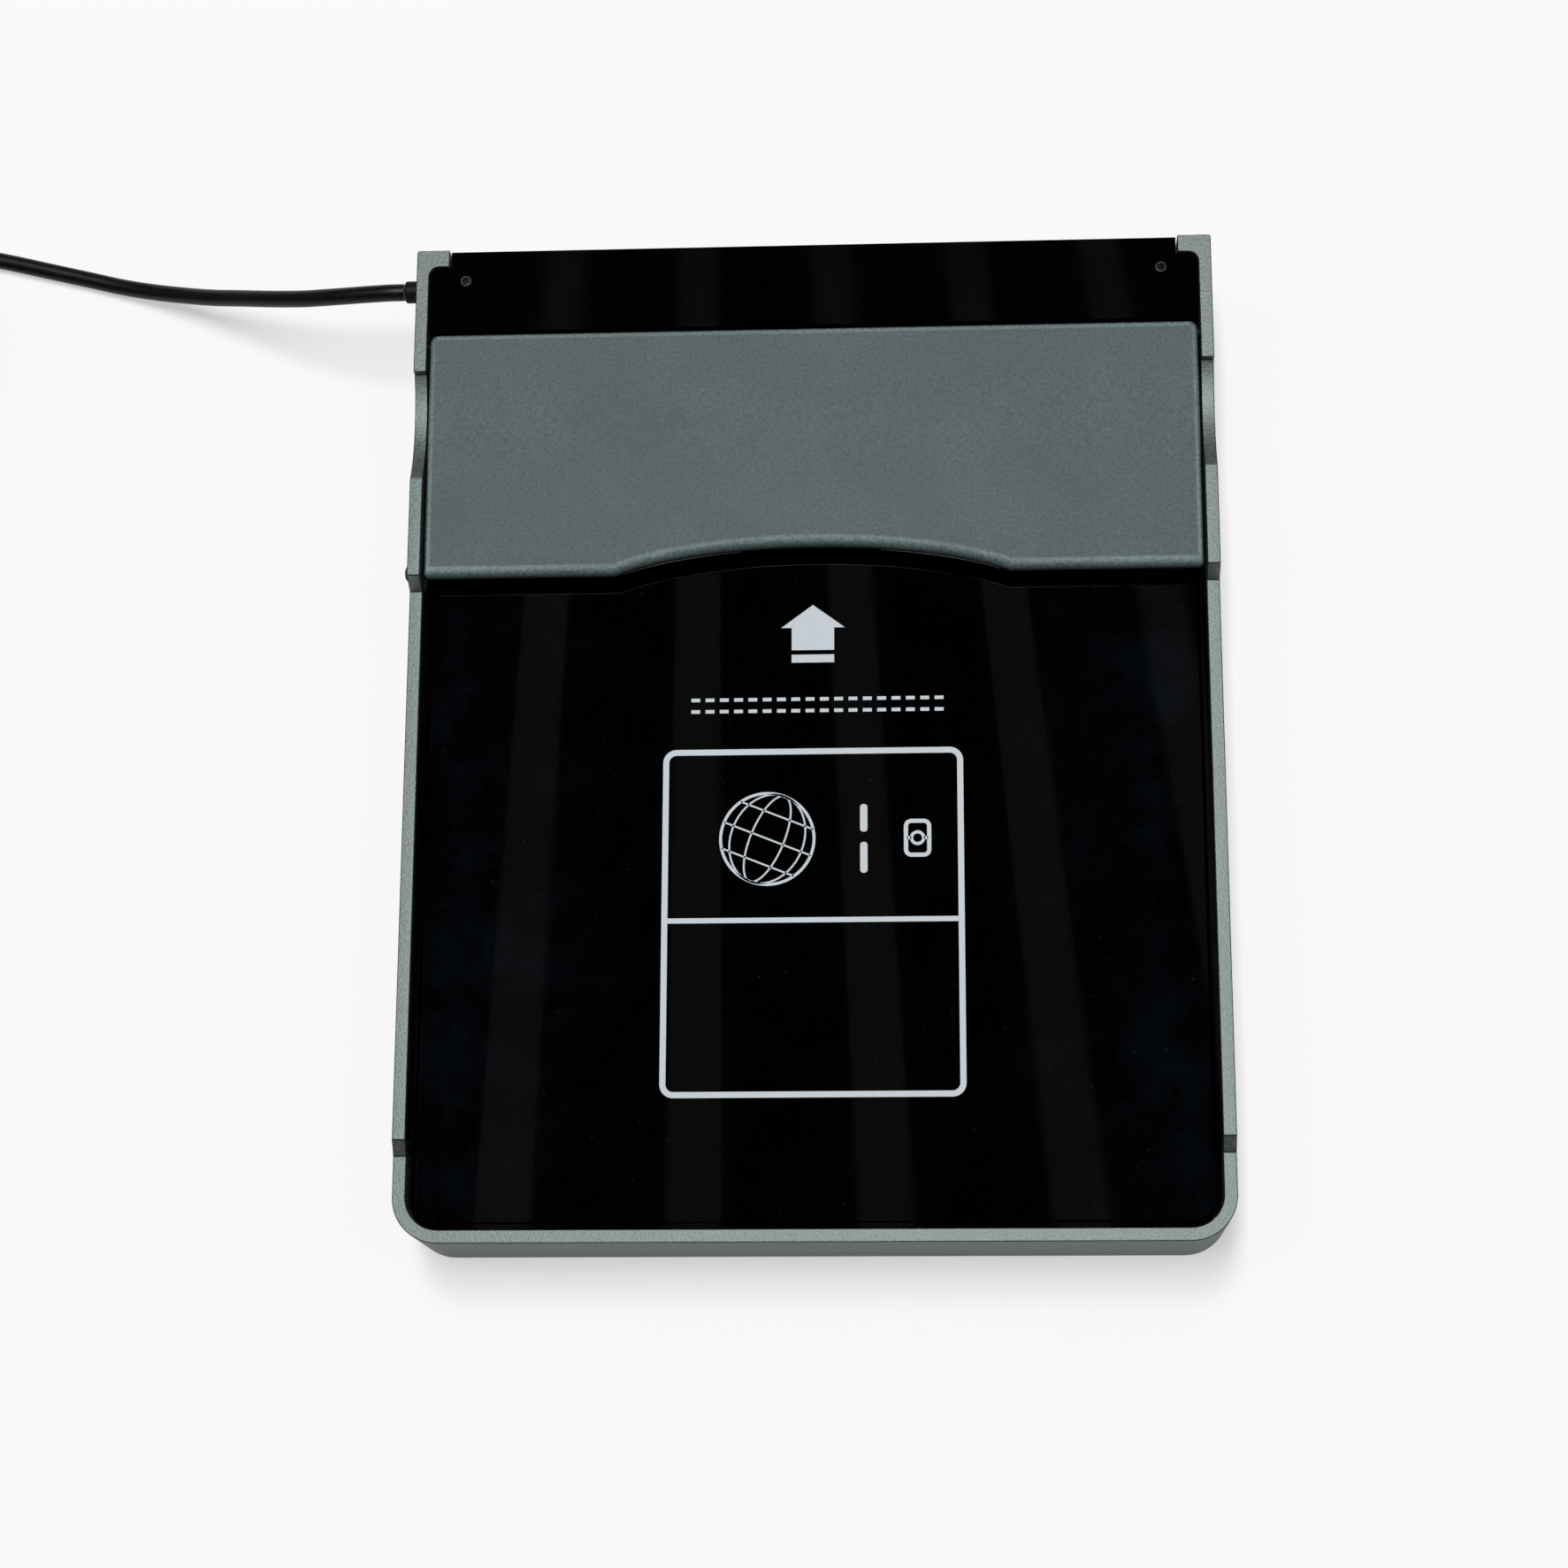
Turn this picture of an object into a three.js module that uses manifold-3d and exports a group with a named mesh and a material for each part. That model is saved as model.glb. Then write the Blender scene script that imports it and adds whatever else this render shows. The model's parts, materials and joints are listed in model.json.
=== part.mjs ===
// Desktop passport reader with a hinged cover flap over the scanning slot.
// Millimetres, +Z up, the document goes in towards +Y. The origin is on the surface that the
// reader stands on, below the middle of its overall width (side button included) and length.

import * as THREE from 'three';
import { mergeVertices } from 'three/addons/utils/BufferGeometryUtils.js';
import Module from 'manifold-3d';

const wasm = await Module();
wasm.setup();

// Overall sizes
const width = 156;
const length = 195;
const footStand = 1;
const frontHeight = 25.4;
const midRise = 2;
const rearRise = 5.9;
const gap = 0.3;

// Frame
const frameWall = 2.5;
const frontCorner = 8.6;
const rearCorner = 0.5;
const returnReach = 6.5;
const returnWall = 3.5;
const railFillet = 2;
const frontStepPlace = 16.2;
const frontStepRun = 2.8;
const rearStepRun = 2.1;
const scoopBeforePivot = 5.9;
const scoopLength = 22.3;
const scoopDepth = 3.45;
const scoopLowPlace = 12.5;
const tabReach = 11;
const tabWidth = 11;
const tabThickness = 2.2;
const tabFrontPlace = 22;
const tabRearPlace = 16;

// Base
const baseThickness = 3;
const footRadius = 7;
const footSeat = 1.4;
const footInset = 20;
const screwRadius = 1.5;
const screwHeadRadius = 2.8;
const screwHeadHeight = 1.3;
const screwSeatDepth = 1.2;
const screwBite = 7;

// Inner housing
const housingWall = 1.6;
const deckThickness = 1.7;
const rimWidth = 1;
const lipBelowRail = 0.4;
const deckBelowRail = 0.5;
const rearBlockLength = 17;
const rearBlockRoof = 2;
const lipPivotRoom = 1;
const bossRadius = 3.6;
const ribThickness = 1.4;
const ribDepth = 3;

// Glass
const glassBelowFront = 2.4;
const glassThickness = 3;
const windowFromSide = 7.6;
const windowLength = 34;
const windowBehindCoverEdge = 6;
const windowCorner = 3;
const tapeWidth = 4;
const tapeThickness = 0.8;
const glueGap = 0.1;

// Cover
const coverLength = 49.7;
const coverBelowRail = 0.6;
const coverSlope = 1;
const coverThickness = 2.4;
const coverSideGap = 0.5;
const coverRearGap = 0.6;
const coverCorner = 1.7;
const coverNoseRun = 1.9;
const coverEdgeRound = 0.8;
const coverSkin = 1.2;
const coverRimWidth = 5;
const coverRibs = 5;
const liningThickness = 0.7;
const liningInset = 0.3;
const archHalfWidth = 38;
const archDepth = 5.3;
const archRadiusAcross = 45;
const pinRadius = 0.8;
const pinInset = 2;
const pinDepth = 1.75;
const pinInCover = 9;
const pinInRail = 1.6;
const barrelRadius = 1.65;

// Side button
const buttonRadius = 1.9;
const buttonReach = 3.2;
const buttonDome = 0.5;
const buttonFlange = 2.6;
const buttonFlangeLength = 1;
const buttonTravel = 0.6;
const buttonBehindCoverEdge = 5.7;
const buttonHeight = 14.6;

// Indicator lenses in the rear deck
const indicatorRadius = 0.75;
const indicatorFromReturn = 3.3;
const indicatorFromRear = 6.4;
const indicatorBoardSize = 6;

// Cord
const cordRadius = 1.7;
const collarRadius = 2.2;
const collarReach = 3.1;
const collarFlange = 2.9;
const collarFlangeLength = 1.2;
const collarFromRear = 6.2;
const collarBelowRoof = 3.6;
const innerLeadRadius = 1;

// Coil of the cord
const coilLayers = 4;
const coilTurnsPerLayer = 2.5;
const coilExtraTurn = 0.25;
const coilClimbTurn = 0.5;
const coilMiddleRadius = 20.5;
const coilPitch = 4;
const coilStepsPerTurn = 24;
const coilSides = 6;
const coilTailLength = 34;
const coilTailSteps = 12;
const tieThickness = 0.5;
const tieWidth = 7;
const tieCorner = 2;

// Plug
const plugWidth = 15.6;
const plugHeight = 7.6;
const plugLength = 24;
const plugNeckWidth = 6.4;
const plugNeckLength = 9;
const plugNeckFlare = 0.6;
const plugShoulderRun = 3;
const plugShoulderPull = 1;
const plugRound = 1.2;
const plugShellWidth = 12;
const plugShellHeight = 4.5;
const plugShellReach = 12;
const plugShellSeat = 3;
const plugShellWall = 0.45;
const plugTongueHeight = 1.4;
const plugWindowSize = 2.3;
const plugWindowFromEnd = 5;
const plugWindowSpacing = 6;

// Inner parts
const boardThickness = 1.6;
const boardStand = 4;
const standRadius = 3;
const boardScrewRadius = 1.1;
const boardScrewHead = 2.1;
const boardScrewHeadHeight = 1.4;
const mainBoardFromSide = 2.6;
const mainBoardLength = 28;
const mirrorFromWindowEnd = 5;
const mirrorDepth = 17;
const mirrorThickness = 2;
const mirrorTilt = THREE.MathUtils.degToRad(42);
const mirrorHolderWidth = 6;
const mirrorHolderInset = 6;
const mirrorHolderFront = 4;
const mirrorHolderRear = 2;
const mirrorAboveBase = 2;
const cameraBeforeWindow = 86.2;
const cameraHeight = 10.6;
const cameraFoot = 1.5;
const cameraBarrelRadius = 4.6;
const cameraBarrelReach = 11;
const cameraBarrelBehind = 3;
const cameraNoseRadius = 3.6;
const cameraNoseLength = 4;
const cameraMouthRadius = 2.6;
const cameraMouthDepth = 1.5;
const cameraLensRadius = 1.6;
const cameraLensThickness = 0.7;
const cameraBracketWidth = 26;
const cameraBracketLength = 18;
const cameraWall = 2.5;
const antennaWidth = 100;
const antennaLength = 84;
const antennaFromFront = 8;
const antennaThickness = 1;
const lightBoardWidth = 7;
const lightBoardThickness = 1.2;
const lightGuideDepth = 3;
const lightCount = 12;
const ledSize = 2.2;
const ledHeight = 0.8;
const switchSize = 5;
const switchDepth = 3;
const switchPlungerRadius = 1;
const processorSize = 15;
const processorHeight = 1.6;
const memoryWidth = 11;
const memoryDepth = 8;
const radioSize = 8;
const radioFromEdge = 27;
const chipHeight = 1.2;
const chipSpacing = 3;
const sensorBeforeCover = 20;
const sensorSize = 7;
const sensorHeight = 3;
const sensorHoleRadius = 1.5;
const sounderRadius = 4.5;
const sounderHeight = 4;
const headerFromEdge = 19;
const headerWidth = 9;
const headerDepth = 7;
const headerHeight = 5;
const headerFromRear = 6;

// Places worked out from the sizes above
const frontY = -length / 2;
const rearY = length / 2;
const sideX = width / 2;
const innerX = sideX - frameWall;
const innerFrontY = frontY + frameWall;
const innerRearY = rearY - returnWall;
const returnX = sideX - returnReach;
const midHeight = frontHeight + midRise;
const rearHeight = frontHeight + rearRise;
const baseTop = footStand + baseThickness;
const housingX = innerX - gap;
const housingFrontY = innerFrontY + gap;
const housingRearY = innerRearY - gap;
const housingTongueX = returnX - gap;
const tongueRearY = rearY - gap;
const glassTop = frontHeight - glassBelowFront;
const glassBottom = glassTop - glassThickness;
const deckTop = glassBottom - tapeThickness;
const deckBottom = deckTop - deckThickness;
const lipHeight = midHeight - lipBelowRail;
const blockTop = rearHeight - deckBelowRail;
const blockFrontY = rearY - rearBlockLength;
const coverRearY = blockFrontY - coverRearGap;
const coverFrontY = coverRearY - coverLength;
const coverTopRear = rearHeight - coverBelowRail;
const coverTopFront = coverTopRear - coverSlope;
const coverBottom = coverTopFront - coverThickness;
const coverX = innerX - coverSideGap;
const shellBottom = coverBottom + liningThickness;
const pivotY = coverRearY - pinInset;
const pivotZ = coverTopRear - pinDepth;
const scoopRearY = pivotY - scoopBeforePivot;
const scoopFrontY = scoopRearY - scoopLength;
const rearStepTopY = coverFrontY;
const rearStepFootY = rearStepTopY - rearStepRun;
const frontStepFootY = frontY + frontStepPlace;
const frontStepTopY = frontStepFootY + frontStepRun;
const windowFrontY = coverFrontY + windowBehindCoverEdge;
const windowRearY = windowFrontY + windowLength;
const tabYs = [frontY + tabFrontPlace, rearY - tabRearPlace];
const tabHoleX = innerX - tabReach / 2;
const tabBottom = baseTop + gap;
const tabTop = tabBottom + tabThickness;
const buttonY = coverFrontY + buttonBehindCoverEdge;
const collarY = rearY - collarFromRear;
const boardBottom = baseTop + boardStand + glueGap;
const boardTop = boardBottom + boardThickness;
const mainBoardRearY = innerRearY - gap - housingWall - gap;
const mainBoardFrontY = mainBoardRearY - mainBoardLength;
const indicatorX = returnX - indicatorFromReturn;
const indicatorY = rearY - indicatorFromRear;
const rearRoofBottom = blockTop - rearBlockRoof;
const collarHeight = rearRoofBottom - collarBelowRoof;
const housingInnerX = housingX - housingWall;
const windowX = housingInnerX - windowFromSide;
const mainBoardX = housingInnerX - mainBoardFromSide;
const mirrorX = windowX - mirrorFromWindowEnd;
const cameraY = windowFrontY - cameraBeforeWindow;
const headerX = -mainBoardX + headerFromEdge;
const deckRibX = antennaWidth / 2 + 2 * ribThickness;
const sensorX = (deckRibX + housingInnerX) / 2;
const housingInnerFrontY = housingFrontY + housingWall;
const headerY = mainBoardRearY - headerFromRear;
const sensorY = coverFrontY - sensorBeforeCover;
const screwSeat = baseTop - screwSeatDepth;
const switchBoardX = -housingInnerX + gap + buttonFlangeLength + 2 * buttonTravel + switchDepth;

// Materials
function plastic(color, roughness, metalness = 0) {
  return new THREE.MeshStandardMaterial({ color, roughness, metalness });
}

const finishes = {
  frame: () => plastic(0x98a19f, 0.62),
  cover: () => plastic(0x6c7873, 0.66),
  housing: () => plastic(0x0b0c0d, 0.16),
  lining: () => plastic(0x0d0e0f, 0.22),
  glass: () => plastic(0x050607, 0.04),
  base: () => plastic(0x151617, 0.55),
  rubber: () => plastic(0x1b1b1b, 0.9),
  cord: () => plastic(0x0a0a0b, 0.38),
  steel: () => plastic(0xb9bcc0, 0.3, 1),
  board: () => plastic(0x1d5a36, 0.5),
  chip: () => plastic(0x17181a, 0.45),
  mirror: () => plastic(0xdfe4e8, 0.03, 1),
  white: () => plastic(0xe6e9ea, 0.5),
  lens: () => plastic(0x20252b, 0.08),
  tie: () => plastic(0x101113, 0.7),
};

const reader = new THREE.Group();
reader.position.x = buttonReach / 2;

// Solids: closed meshes turned into solids that can be joined and cut, and back again
function toSolid(geometry) {
  const bare = geometry.index ? geometry.toNonIndexed() : geometry.clone();
  bare.deleteAttribute('normal');
  bare.deleteAttribute('uv');
  const merged = mergeVertices(bare, 1e-5);
  return new wasm.Manifold(new wasm.Mesh({
    numProp: 3,
    vertProperties: new Float32Array(merged.attributes.position.array),
    triVerts: new Uint32Array(merged.index.array),
  }));
}

function toGeometry(solid) {
  const mesh = solid.getMesh();
  const geometry = new THREE.BufferGeometry();
  geometry.setAttribute('position', new THREE.BufferAttribute(mesh.vertProperties, 3));
  geometry.setIndex(new THREE.BufferAttribute(mesh.triVerts, 1));
  const faceted = geometry.toNonIndexed();
  faceted.computeVertexNormals();
  return faceted;
}

function add(name, solid, finish) {
  const mesh = new THREE.Mesh(toGeometry(solid), finish());
  mesh.name = name;
  reader.add(mesh);
  return mesh;
}

function join(solids) {
  return solids.reduce((all, solid) => all.add(solid));
}

function cut(solid, tools) {
  return tools.reduce((rest, tool) => rest.subtract(tool), solid);
}

function box(x0, x1, y0, y1, z0, z1) {
  const geometry = new THREE.BoxGeometry(x1 - x0, y1 - y0, z1 - z0);
  geometry.translate((x0 + x1) / 2, (y0 + y1) / 2, (z0 + z1) / 2);
  return toSolid(geometry);
}

// A shape drawn in X and Y, raised from z0 to z1
function raised(shape, z0, z1, curveSegments = 6) {
  const geometry = new THREE.ExtrudeGeometry(shape, { depth: z1 - z0, bevelEnabled: false, curveSegments });
  geometry.translate(0, 0, z0);
  return toSolid(geometry);
}

// A profile drawn in Y and Z, drawn out from x0 to x1
function acrossX(shape, x0, x1, curveSegments = 6) {
  const geometry = new THREE.ExtrudeGeometry(shape, { depth: x1 - x0, bevelEnabled: false, curveSegments });
  const turn = new THREE.Matrix4().makeBasis(
    new THREE.Vector3(0, 1, 0),
    new THREE.Vector3(0, 0, 1),
    new THREE.Vector3(1, 0, 0),
  );
  geometry.applyMatrix4(turn);
  geometry.translate(x0, 0, 0);
  return toSolid(geometry);
}

// A solid of revolution about a line along X, Y or Z. The profile is [distance along, radius] pairs.
function turned(profile, axis, x, y, z, segments = 20) {
  const points = profile.map(([along, radius]) => new THREE.Vector2(radius, along));
  const geometry = new THREE.LatheGeometry(points, segments);
  if (axis === 'x') geometry.rotateZ(-Math.PI / 2);
  if (axis === 'z') geometry.rotateX(Math.PI / 2);
  geometry.translate(x, y, z);
  return toSolid(geometry);
}

function rod(axis, radius, from, to, x, y, z, segments = 20) {
  return turned([[from, 0], [from, radius], [to, radius], [to, 0]], axis, x, y, z, segments);
}

// Rectangle with its own radius at the front corners and at the rear corners
function roundedRectangle(x0, x1, y0, y1, frontRadius, rearRadius = frontRadius) {
  const shape = new THREE.Shape();
  shape.absarc(x1 - frontRadius, y0 + frontRadius, frontRadius, -Math.PI / 2, 0, false);
  shape.absarc(x1 - rearRadius, y1 - rearRadius, rearRadius, 0, Math.PI / 2, false);
  shape.absarc(x0 + rearRadius, y1 - rearRadius, rearRadius, Math.PI / 2, Math.PI, false);
  shape.absarc(x0 + frontRadius, y0 + frontRadius, frontRadius, Math.PI, Math.PI * 1.5, false);
  return shape;
}

function polygon(points) {
  return new THREE.Shape(points.map(([x, y]) => new THREE.Vector2(x, y)));
}

// The space inside the frame's walls, drawn in by an inset: bed corners at the front,
// fillets beside the returns at the rear, and the opening between the returns
function insideOfFrame(inset, z0, z1) {
  const cornerInside = frontCorner - frameWall - inset;
  const body = roundedRectangle(
    -innerX + inset, innerX - inset, innerFrontY + inset, innerRearY - inset, cornerInside, railFillet,
  );
  const openX = returnX - inset;
  const openY = inset > 0 ? rearY - inset : rearY + frameWall;
  return raised(body, z0, z1).add(box(-openX, openX, innerRearY - railFillet * 2, openY, z0, z1));
}

// Outer frame: three levels along the rails, a finger scoop beside each end of the cover
function railProfile() {
  const scoopRadius = (scoopLowPlace ** 2 + scoopDepth ** 2) / (2 * scoopDepth);
  const scoopY = scoopFrontY + scoopLowPlace;
  const scoopZ = rearHeight - scoopDepth + scoopRadius;
  const rearAngle = -Math.acos((scoopRearY - scoopY) / scoopRadius);
  const frontAngle = -Math.PI + Math.acos(scoopLowPlace / scoopRadius);
  const shape = new THREE.Shape();
  shape.moveTo(frontY - gap, footStand);
  shape.lineTo(rearY + gap, footStand);
  shape.lineTo(rearY + gap, rearHeight);
  shape.lineTo(scoopRearY, rearHeight);
  shape.absarc(scoopY, scoopZ, scoopRadius, rearAngle, frontAngle, true);
  shape.lineTo(rearStepTopY, rearHeight);
  shape.lineTo(rearStepFootY, midHeight);
  shape.lineTo(frontStepTopY, midHeight);
  shape.lineTo(frontStepFootY, frontHeight);
  shape.lineTo(frontY - gap, frontHeight);
  shape.closePath();
  return shape;
}

function tab(side, y, reach, halfWidth, z0, z1) {
  const holeX = side * tabHoleX;
  const plate = box(
    Math.min(holeX, side * (innerX + reach)), Math.max(holeX, side * (innerX + reach)),
    y - halfWidth, y + halfWidth, z0, z1,
  );
  return plate.add(rod('z', halfWidth, z0, z1, holeX, y, 0, 16));
}

function makeFrame() {
  const outline = roundedRectangle(-sideX, sideX, frontY, rearY, frontCorner, rearCorner);
  const block = raised(outline, footStand, rearHeight, 8);
  const walls = cut(block, [insideOfFrame(0, 0, rearHeight + gap)]);
  const levelled = walls.intersect(acrossX(railProfile(), -sideX - gap, sideX + gap, 10));
  const tabs = [];
  const holes = [];
  for (const y of tabYs) {
    for (const side of [-1, 1]) {
      tabs.push(tab(side, y, frameWall / 2, tabWidth / 2, tabBottom, tabTop));
      holes.push(rod('z', screwRadius + gap, 0, tabTop + gap, side * tabHoleX, y, 0, 12));
    }
  }
  for (const side of [-1, 1]) {
    const holeEnd = innerX + pinInRail + gap / 2;
    const from = Math.min(side * (innerX - gap), side * holeEnd);
    const to = Math.max(side * (innerX - gap), side * holeEnd);
    holes.push(rod('x', pinRadius + gap, from, to, 0, pivotY, pivotZ, 12));
  }
  holes.push(rod('x', buttonRadius + gap, -sideX - gap, -innerX + gap, 0, buttonY, buttonHeight));
  holes.push(rod('x', collarRadius + gap, -sideX - gap, -innerX + railFillet, 0, collarY, collarHeight));
  add('outer_frame', cut(join([levelled, ...tabs]), holes), finishes.frame);
}

// Inner housing: deck under the glass, rim and side lips, rear block, bosses under the deck
function housingProfile() {
  return polygon([
    [housingFrontY - gap, tabBottom],
    [rearY, tabBottom],
    [rearY, blockTop],
    [blockFrontY, blockTop],
    [blockFrontY, lipHeight - lipPivotRoom],
    [pivotY - 2 * pinInset, lipHeight - lipPivotRoom],
    [pivotY - 2 * pinInset, lipHeight],
    [frontStepTopY, lipHeight],
    [frontStepFootY, glassTop],
    [housingFrontY - gap, glassTop],
  ]);
}

function glassOutline(inset) {
  const corner = frontCorner - frameWall - gap - rimWidth - inset;
  const x = housingX - rimWidth - inset;
  return roundedRectangle(-x, x, housingFrontY + rimWidth + inset, blockFrontY - inset, corner, corner / 2);
}

function windowOutline() {
  return roundedRectangle(-windowX, windowX, windowFrontY, windowRearY, windowCorner);
}

function makeHousing() {
  const skin = insideOfFrame(gap, tabBottom, blockTop + gap)
    .intersect(acrossX(housingProfile(), -housingX, housingX));
  const tongueInnerX = housingTongueX - housingWall;
  const roomRearY = housingRearY - housingWall;
  const rooms = [
    box(-housingInnerX, housingInnerX, housingInnerFrontY, roomRearY, 0, deckBottom),
    box(-housingInnerX, housingInnerX, blockFrontY + housingWall, roomRearY, 0, rearRoofBottom),
    box(-tongueInnerX, tongueInnerX, blockFrontY + housingWall, tongueRearY - housingWall, 0, rearRoofBottom),
    raised(glassOutline(0), deckTop, blockTop),
    raised(windowOutline(), deckBottom - gap, deckTop + gap),
  ];
  const walls = cut(skin, rooms);
  const bosses = [];
  const cuts = [];
  for (const y of tabYs) {
    const roof = y > blockFrontY + housingWall ? rearRoofBottom : deckBottom;
    for (const side of [-1, 1]) {
      const x = side * tabHoleX;
      const ribEndX = side * (housingInnerX + gap);
      bosses.push(rod('z', bossRadius, tabTop + gap, roof + gap, x, y, 0, 16));
      bosses.push(box(
        Math.min(x, ribEndX), Math.max(x, ribEndX),
        y - ribThickness / 2, y + ribThickness / 2, tabTop + gap, roof + gap,
      ));
      cuts.push(rod('z', screwRadius + gap, 0, tabTop + screwBite + 2 * gap, x, y, 0, 12));
      cuts.push(tab(side, y, frameWall / 2, tabWidth / 2 + gap, 0, tabTop + gap));
    }
  }
  cuts.push(rod('x', buttonRadius + gap, -innerX, -housingInnerX + gap, 0, buttonY, buttonHeight));
  cuts.push(rod('x', collarRadius + gap, -innerX, -housingInnerX + gap, 0, collarY, collarHeight));
  const flangeEnd = -housingInnerX + collarFlangeLength + 2 * gap;
  cuts.push(rod('x', collarFlange + gap, -housingInnerX, flangeEnd, 0, collarY, collarHeight));
  for (const side of [-1, 1]) {
    cuts.push(rod(
      'z', indicatorRadius + gap, rearRoofBottom - gap, blockTop + gap, side * indicatorX, indicatorY, 0, 16,
    ));
  }
  cuts.push(rod('z', sensorHoleRadius, deckBottom - gap, deckTop + gap, sensorX, sensorY, 0, 16));
  add('inner_housing', cut(join([walls, ...bosses, ...deckRibs()]), cuts), finishes.housing);
}

// Two stiffening ribs along the bed, one beside each edge of the antenna board
function deckRibs() {
  return [-1, 1].map((side) => {
    const x = side * deckRibX;
    return box(
      x - ribThickness / 2, x + ribThickness / 2, housingInnerFrontY - gap,
      windowFrontY - lightBoardWidth - 2 * gap, deckBottom - ribDepth, deckBottom + gap,
    );
  });
}

// Glass plate and the adhesive frame that it lies on
function makeGlass() {
  add('document_glass', raised(glassOutline(gap), glassBottom, glassTop), finishes.glass);
  const tapeBottom = deckTop + glueGap;
  const tapeTop = glassBottom - glueGap;
  const outer = raised(glassOutline(gap), tapeBottom, tapeTop);
  const inner = raised(glassOutline(gap + tapeWidth), deckTop, glassBottom);
  add('glass_tape', cut(outer, [inner]), finishes.tie);
}

// The finger arch in the cover's front edge, drawn from left to right at the edge's place
function addArch(shape, edgeY) {
  const endAngle = Math.acos(archHalfWidth / archRadiusAcross);
  const archHeight = archDepth / (1 - Math.sin(endAngle));
  const centreY = edgeY - archHeight * Math.sin(endAngle);
  shape.absellipse(0, centreY, archRadiusAcross, archHeight, Math.PI - endAngle, endAngle, true);
}

// Cover outline seen from above, moved in by an inset
function coverOutline(inset) {
  const x = coverX - inset;
  const y0 = coverFrontY + inset;
  const y1 = coverRearY - inset;
  const shape = new THREE.Shape();
  shape.absarc(x - coverCorner, y0 + coverCorner, coverCorner, -Math.PI / 2, 0, false);
  shape.lineTo(x, y1);
  shape.lineTo(-x, y1);
  shape.absarc(-x + coverCorner, y0 + coverCorner, coverCorner, Math.PI, Math.PI * 1.5, false);
  addArch(shape, y0);
  return shape;
}

// The same front edge on a sheet that runs past the cover's sides and rear
function noseOutline(spare) {
  const shape = new THREE.Shape();
  addArch(shape, coverFrontY);
  shape.lineTo(coverX + spare, coverFrontY);
  shape.lineTo(coverX + spare, coverRearY + spare);
  shape.lineTo(-coverX - spare, coverRearY + spare);
  shape.lineTo(-coverX - spare, coverFrontY);
  return shape;
}

// A plate whose upper edge is rounded over: run is the width of the rounding, rise its height
function roundedPlate(shape, bottom, top, run, rise, curveSegments) {
  const geometry = new THREE.ExtrudeGeometry(shape, {
    depth: top - bottom,
    bevelEnabled: true,
    bevelThickness: rise,
    bevelSize: run,
    bevelOffset: -run,
    bevelSegments: 4,
    curveSegments,
  });
  geometry.translate(0, 0, bottom);
  return geometry;
}

// The cover's top falls towards its front edge, so heights above the lining grow towards the rear
function sloped(geometry) {
  const place = geometry.attributes.position;
  const frontRise = coverTopFront - shellBottom;
  for (let i = 0; i < place.count; i += 1) {
    const along = (place.getY(i) - coverFrontY) / coverLength;
    const stretch = 1 + (coverSlope / frontRise) * along;
    const above = place.getZ(i) - shellBottom;
    if (above > 0) place.setZ(i, shellBottom + above * stretch);
  }
  return geometry;
}

function coverTopAt(y) {
  return coverTopFront + coverSlope * (y - coverFrontY) / coverLength;
}

function makeCover() {
  const spare = 3;
  const rise = coverTopFront - shellBottom;
  const nose = toSolid(sloped(roundedPlate(
    noseOutline(spare), shellBottom - spare, shellBottom, coverNoseRun, rise, 20,
  )));
  const body = roundedRectangle(
    -coverX, coverX, coverFrontY - spare, coverRearY, coverCorner, coverCorner,
  );
  const sides = toSolid(sloped(roundedPlate(
    body, shellBottom - spare, coverTopFront - coverEdgeRound, coverEdgeRound, coverEdgeRound, 4,
  )));
  const aboveLining = box(-coverX, coverX, coverFrontY, coverRearY, shellBottom, blockTop);
  const plate = nose.intersect(sides).intersect(aboveLining);

  const roomFrontY = coverFrontY + archDepth + coverRimWidth;
  const roomRearY = pivotY - coverRimWidth;
  const roomX = coverX - coverRimWidth;
  const room = acrossX(polygon([
    [roomFrontY, shellBottom - gap],
    [roomRearY, shellBottom - gap],
    [roomRearY, coverTopAt(roomRearY) - coverSkin],
    [roomFrontY, coverTopAt(roomFrontY) - coverSkin],
  ]), -roomX, roomX);
  const hollow = cut(plate, [room]);
  const ribs = [];
  for (let i = 1; i <= coverRibs; i += 1) {
    const x = -roomX + (2 * roomX * i) / (coverRibs + 1);
    ribs.push(acrossX(polygon([
      [roomFrontY - gap, shellBottom],
      [roomRearY + gap, shellBottom],
      [roomRearY + gap, coverTopAt(roomRearY) - coverSkin / 2],
      [roomFrontY - gap, coverTopAt(roomFrontY) - coverSkin / 2],
    ]), x - ribThickness / 2, x + ribThickness / 2));
  }
  const barrel = rod('x', barrelRadius, -coverX, coverX, 0, pivotY, pivotZ, 24);
  const bores = [-1, 1].map((side) => rod(
    'x', pinRadius + gap,
    Math.min(side * (coverX - pinInCover), side * (coverX + gap)),
    Math.max(side * (coverX - pinInCover), side * (coverX + gap)),
    0, pivotY, pivotZ, 16,
  ));
  add('cover_shell', cut(join([hollow, barrel, ...ribs]), bores), finishes.cover);

  const lining = raised(coverOutline(liningInset), coverBottom, shellBottom - glueGap, 20);
  const liningRearY = pivotY - barrelRadius - gap;
  const kept = box(-coverX, coverX, coverFrontY - gap, liningRearY, coverBottom - gap, coverTopRear);
  add('cover_lining', lining.intersect(kept), finishes.lining);
}

function makeHingePins() {
  for (const [name, side] of [['hinge_pin_left', -1], ['hinge_pin_right', 1]]) {
    const inner = side * (coverX - pinInCover + gap);
    const outer = side * (innerX + pinInRail - gap / 2);
    const pin = rod('x', pinRadius, Math.min(inner, outer), Math.max(inner, outer), 0, pivotY, pivotZ, 16);
    add(name, pin, finishes.steel);
  }
}

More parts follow.
